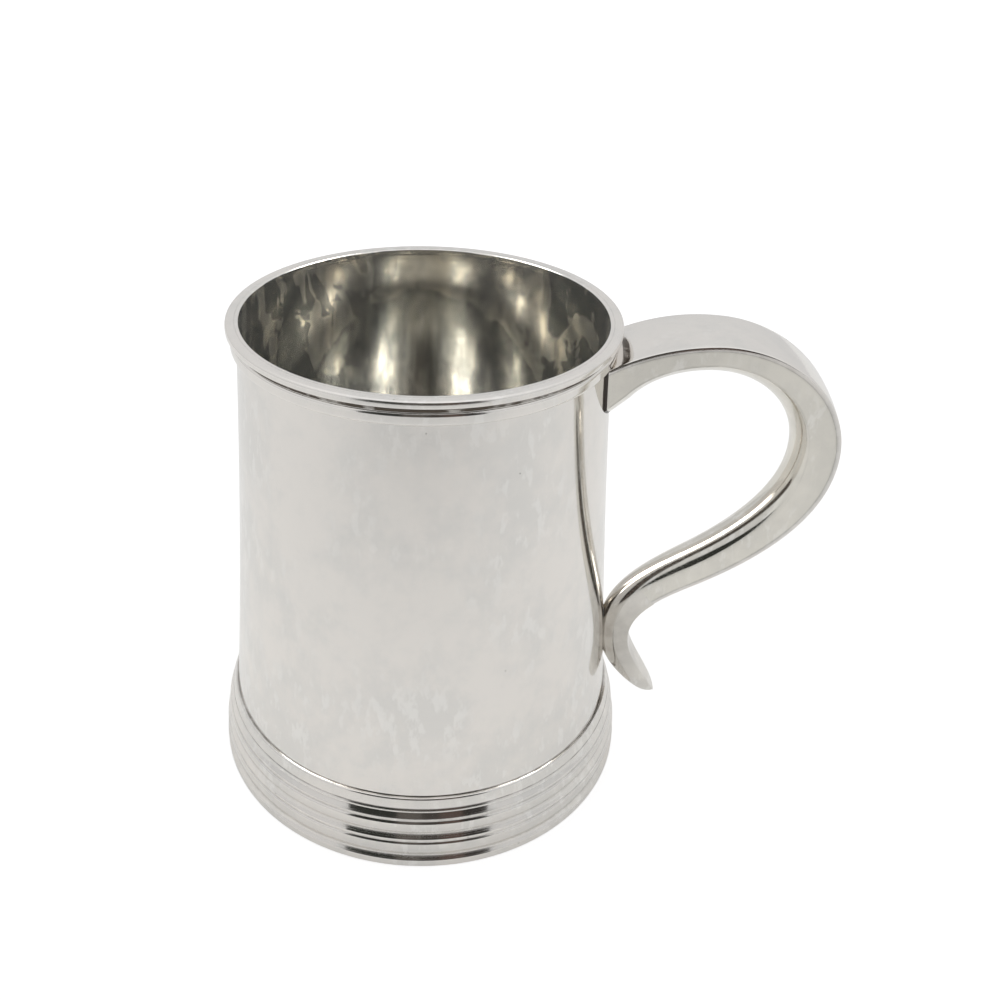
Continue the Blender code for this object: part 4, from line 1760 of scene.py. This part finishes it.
    def outward(self, axis: float) -> Vector:
        """Return the level direction from the tankard to the camera."""
        return Vector((self.camera_place[0] - axis, self.camera_place[1], 0.0)).normalized()

    def facing(self, left: float, right: float, axis: float) -> list[Vector]:
        """Return the corners of an upright card between the tankard and the camera.

        Args:
            left: its left edge, seen from the tankard towards the camera.
            right: its right edge.
            axis: the X of the barrel's axis.

        Returns:
            Four corners.
        """
        out = self.outward(axis)
        side = Vector((-out.y, out.x, 0.0))
        centre = Vector((axis, 0.0, 0.0)) + out * self.opening_distance
        high = self.opening_height
        ends = ((left, 0.0), (right, 0.0), (right, high), (left, high))
        return [centre + side * across + Vector((0, 0, height)) for across, height in ends]

    def softbox(self, name: str, turn: float, axis: float, lit: bpy.types.Collection) -> None:
        """Stand a soft box beside the tankard that throws its light down into the mouth.

        Args:
            name: its name.
            turn: how many degrees it stands to the right of the camera, seen from the tankard.
            axis: the X of the barrel's axis.
            lit: the pieces that it lights.
        """
        out = Matrix.Rotation(math.radians(turn), 3, "Z") @ self.outward(axis)
        place = Vector((axis, 0.0, self.box_middle)) + out * self.box_distance
        lamp = bpy.data.lights.new(name, "AREA")
        lamp.shape = "RECTANGLE"
        lamp.size = self.box_width
        lamp.size_y = self.box_height
        lamp.energy = self.box_energy
        lamp.color = self.box_tone
        item = bpy.data.objects.new(name, lamp)
        item.location = place
        away = place - Vector((axis, 0.0, self.box_aim))
        item.rotation_euler = (-away).to_track_quat("-Z", "Y").to_euler()
        item.light_linking.receiver_collection = lit
        bpy.context.scene.collection.objects.link(item)

    def build(self, axis: float, cup: list[bpy.types.Object]) -> None:
        """Put up the table, the tent, its dark opening, the soft boxes and the camera.

        Args:
            axis: the X of the barrel's axis.
            cup: the pieces whose inside the soft boxes light.
        """
        bpy.context.scene.cycles.glossy_bounces = self.glossy_bounces
        self.world()
        self.floor()
        lit = bpy.data.collections.new("cup")
        for item in cup:
            lit.objects.link(item)
        for name, turn in (("box_left", -self.box_turn), ("box_right", self.box_turn)):
            self.softbox(name, turn, axis, lit)
        half = self.opening_half_width
        for number, (left, right, tone) in enumerate(self.opening_parts):
            self.card(f"tent_opening_{number}", self.facing(left * half, right * half, axis), tone)
        self.camera()


class Tankard:
    """The whole tankard: it builds, dresses and seats every piece on the frame."""

    def __init__(self, axis: float) -> None:
        """Keep the barrel's axis and make the classes of the pieces.

        Args:
            axis: the X of the barrel's axis.
        """
        self.axis = axis
        self.barrel = Barrel()
        self.base = BaseDisc(self.barrel)
        self.rim = RimMoulding(self.barrel)
        self.foot = FootMoulding(self.barrel)
        self.handle = Handle(self.barrel, self.rim)

    def seat(self, item: bpy.types.Object, node: str) -> None:
        """Let a piece ride on the frame in the place of its node, and report it.

        Args:
            item: the piece.
            node: the node's name.
        """
        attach(item, BODY)
        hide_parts(node)
        count = sum(len(face.vertices) - 2 for face in item.data.polygons)
        LOG.info("%s stands for %s: %d triangles", item.name, node, count)

    def build(self, effects: Effects) -> list[bpy.types.Object]:
        """Build, dress and seat all eight pieces.

        Args:
            effects: the shared node groups.

        Returns:
            The pieces that make the cup: its wall and its base.
        """
        turned = {
            "barrel": (self.barrel, "silver_barrel"),
            "base_disc": (self.base, "silver_base"),
            "rim_moulding": (self.rim, "silver_rim"),
            "foot_moulding": (self.foot, "silver_foot"),
        }
        made = {}
        for node, (maker, slot) in turned.items():
            made[node] = maker.build(self.axis)
            maker.dress(made[node], effects, self.axis)
            self.seat(made[node], node)
        pieces = self.handle.build(self.axis)
        self.handle.dress(pieces, effects, self.axis)
        slots = {
            "handle_strap": "silver_strap",
            "handle_channel": "silver_channel",
            "handle_end_plate": "silver_end_plate",
            "handle_terminal": "silver_terminal",
        }
        for node, slot in slots.items():
            self.seat(pieces[node], node)
        return [made["barrel"], made["base_disc"]]


def main() -> None:
    """Load the frame, build the tankard and the studio."""
    logging.basicConfig(level=logging.INFO, format="%(name)s: %(message)s")
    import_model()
    low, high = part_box("barrel")
    axis = (low.x + high.x) / 2
    cup = Tankard(axis).build(Effects())
    Studio().build(axis, cup)
    view = bpy.context.scene.view_settings
    view.view_transform = "Standard"
    bpy.context.view_layer.update()


if __name__ == "__main__":
    main()
